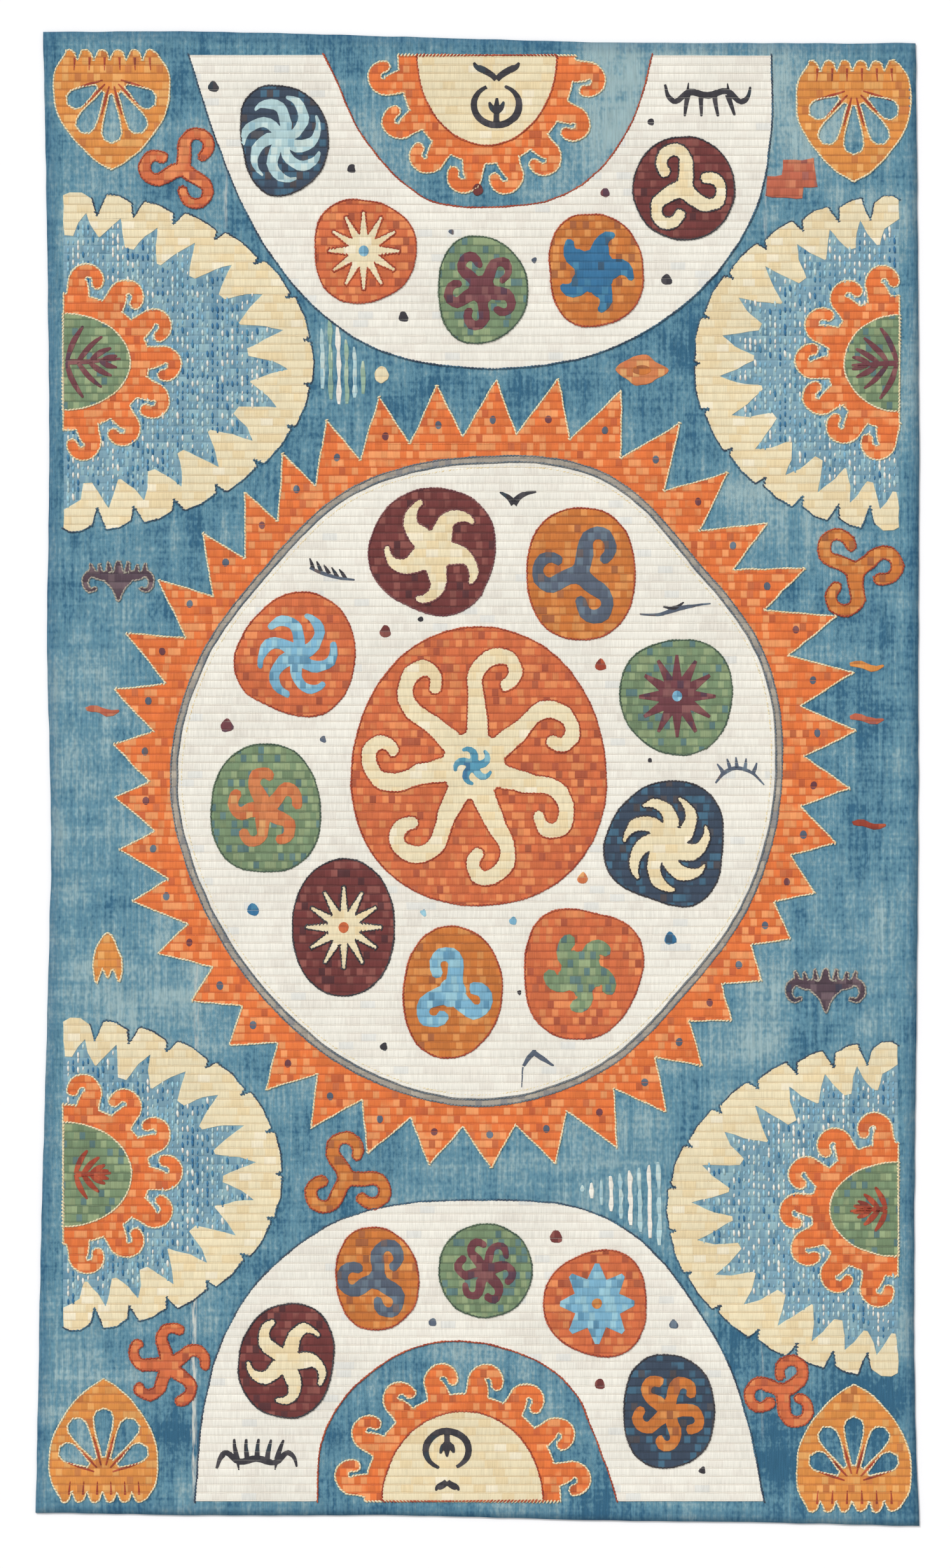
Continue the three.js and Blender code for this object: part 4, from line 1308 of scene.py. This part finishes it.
def lash(work, centre, width, rays, up):
    """A wavy bar with upturned ends, and rays along one side of it."""
    bar = course([width * p for p in LASH_BAR])[:-1]
    parts = [ribbon(bar, [2, 4.5, 4.5, 5.5, 4.5, 4.5, 2])]
    for i in range(rays):
        share = (i + 0.5) / rays - 0.5
        start = complex(0.62 * share * width, 0.01 * width)
        bends = [(0.24 * width, 10, 3)]
        parts.append(arm(start, -90 + 34 * share, [4.4, 3.6, 2.2], bends))
    for side in (-1, 1):
        start = complex(side * 0.24 * width, 0.03 * width)
        parts.append(arm(start, 90 + 8 * side, [3, 1.2], [(0.11 * width, 0, 2)]))
    shapes = rough([placed(part, centre, up=up) for part in parts], 0.5, 7)
    work.lay(shapes, "charcoal", FIELD, FIELD + 0.3)


def small_marks():
    """The small dark marks on the pale silk."""
    work = Silkwork("small_marks")
    for x, y, size, silk in DOTS:
        base = DISC if abs(x + y * 1j - SUN_CENTRE) < 230 else FIELD
        dot = roundel(x, y, size, size * 1.05, 20, 2.3, 0.1, 30 + 7 * size, steps=14)
        work.lay([uneven(dot, 0.9, 4)], silk, base, base + 0.3)
    horns(work, 14.2 + 501j, 17, 0, 16, 1.1)
    horns(work, -22.5 - 499j, 16, 180, 8, 1.45)
    lash(work, 171.5 + 508j, 64, 4, 1)
    lash(work, -163.9 - 505.2j, 60, 5, -1)
    for silk, spots, widths in STROKES:
        mark = uneven(ribbon(course(spots), widths), 0.4, 6)
        work.lay([mark], silk, DISC, DISC + 0.3)
    for x, y, lean in RAYS:
        ray = uneven(arm(complex(x, y), lean, [3.4, 2.8, 1.4], [(8, 8, 2)]), 0.4, 5)
        work.lay([ray], "charcoal" if x < 0 else "slate", DISC, DISC + 0.3)
    return work.done()


OUTLINE_STITCH = (3.6, 1.5, 0.8, 12)  # length, width, thickness, and slant in degrees
DASH_STITCH = (5.2, 1.9, 0.9, 90)


def stitched(name, tree, verts, edges, thread, stitch, seed):
    """A piece of stitches of one thread."""
    *sizes, slant = stitch
    length, width, thickness = (size * MM for size in sizes)
    return grown(name, tree, verts, edges, {
        "Length": length, "Width": width, "Thickness": thickness, "Spacing": 0.72 * length,
        "Slant": math.radians(slant), "Spread": math.radians(7), "Seed": seed,
        "Material": threads[thread],
    })


cloth = ground_cloth()
pieces = [
    horseshoe("horseshoe_top", TOP_OUTER, TOP_INNER),
    horseshoe("horseshoe_bottom", BOTTOM_OUTER, BOTTOM_INNER),
    *sun(),
    *(half_medallion(i + 1, *row) for i, row in enumerate(HALF_MEDALLIONS)),
    *(roundel_piece(i + 1, row) for i, row in enumerate(ROUNDELS)),
    *(palmette_piece(i + 1, *row) for i, row in enumerate(PALMETTES)),
    strays(),
    small_marks(),
]
for thread, spots in dashes.items():
    pieces.append(stitched(f"dashes_{thread}", seed_stitch, spots, [], thread, DASH_STITCH, 5))
for seed, ((thread, region), drawn) in enumerate(lines.items()):
    pieces.append(stitched(f"stitches_{thread}_{region}", stitch_row, drawn.verts, drawn.edges,
                           thread, OUTLINE_STITCH, seed))
for silk, drawn in couched.items():
    pieces.append(grown(f"couching_{silk}", couched_thread, drawn.verts, drawn.edges, {
        "Width": 0.55 * MM, "Spacing": 7 * MM, "Wander": 0.5 * MM,
        "Material": thread_material("couching", silk, 0.7),
    }))

# Floor, lights and camera


def floor_piece():
    size = 60_000
    corners = [(-size, -size, -0.2), (size, -size, -0.2), (size, size, -0.2), (-size, size, -0.2)]
    floor = new_piece("floor", corners, [], [(0, 1, 2, 3)])
    paper = bpy.data.materials.new("floor paper")
    paper.use_nodes = True
    shader = paper.node_tree.nodes["Principled BSDF"].inputs
    shader["Base Color"].default_value = (0.97, 0.965, 0.97, 1.0)
    shader["Roughness"].default_value = 0.9
    floor.data.materials.append(paper)
    return floor


def stand(name, data, place, turn):
    """A light or a camera, in metres, turned by degrees."""
    thing = bpy.data.objects.new(name, data)
    thing.location = place
    thing.rotation_euler = [math.radians(angle) for angle in turn]
    bpy.context.scene.collection.objects.link(thing)
    return thing


def lights():
    world = bpy.data.worlds.new("soft room")
    world.use_nodes = True
    background = world.node_tree.nodes["Background"].inputs
    background["Color"].default_value = (1.0, 1.0, 1.0, 1.0)
    background["Strength"].default_value = 0.62
    bpy.context.scene.world = world
    lamp = bpy.data.lights.new("window", "SUN")
    lamp.energy = 2.1
    lamp.angle = math.radians(14)
    stand("window", lamp, (0, 0, 0), (-38, -36, 0))


EYE_POINT = (-0.0014, -0.0038, 2.592)  # where the camera stands, in metres


def camera():
    lens = bpy.data.cameras.new("camera")
    lens.sensor_fit = "VERTICAL"
    lens.sensor_height = 36
    lens.lens = 80
    bpy.context.scene.camera = stand("camera", lens, EYE_POINT, (0, 0, 0))


floor_piece()
lights()
camera()
bpy.context.scene.view_settings.view_transform = "Standard"

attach(cloth, "root")
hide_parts("embroidered_cloth")
for piece in pieces:
    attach(piece, "root")
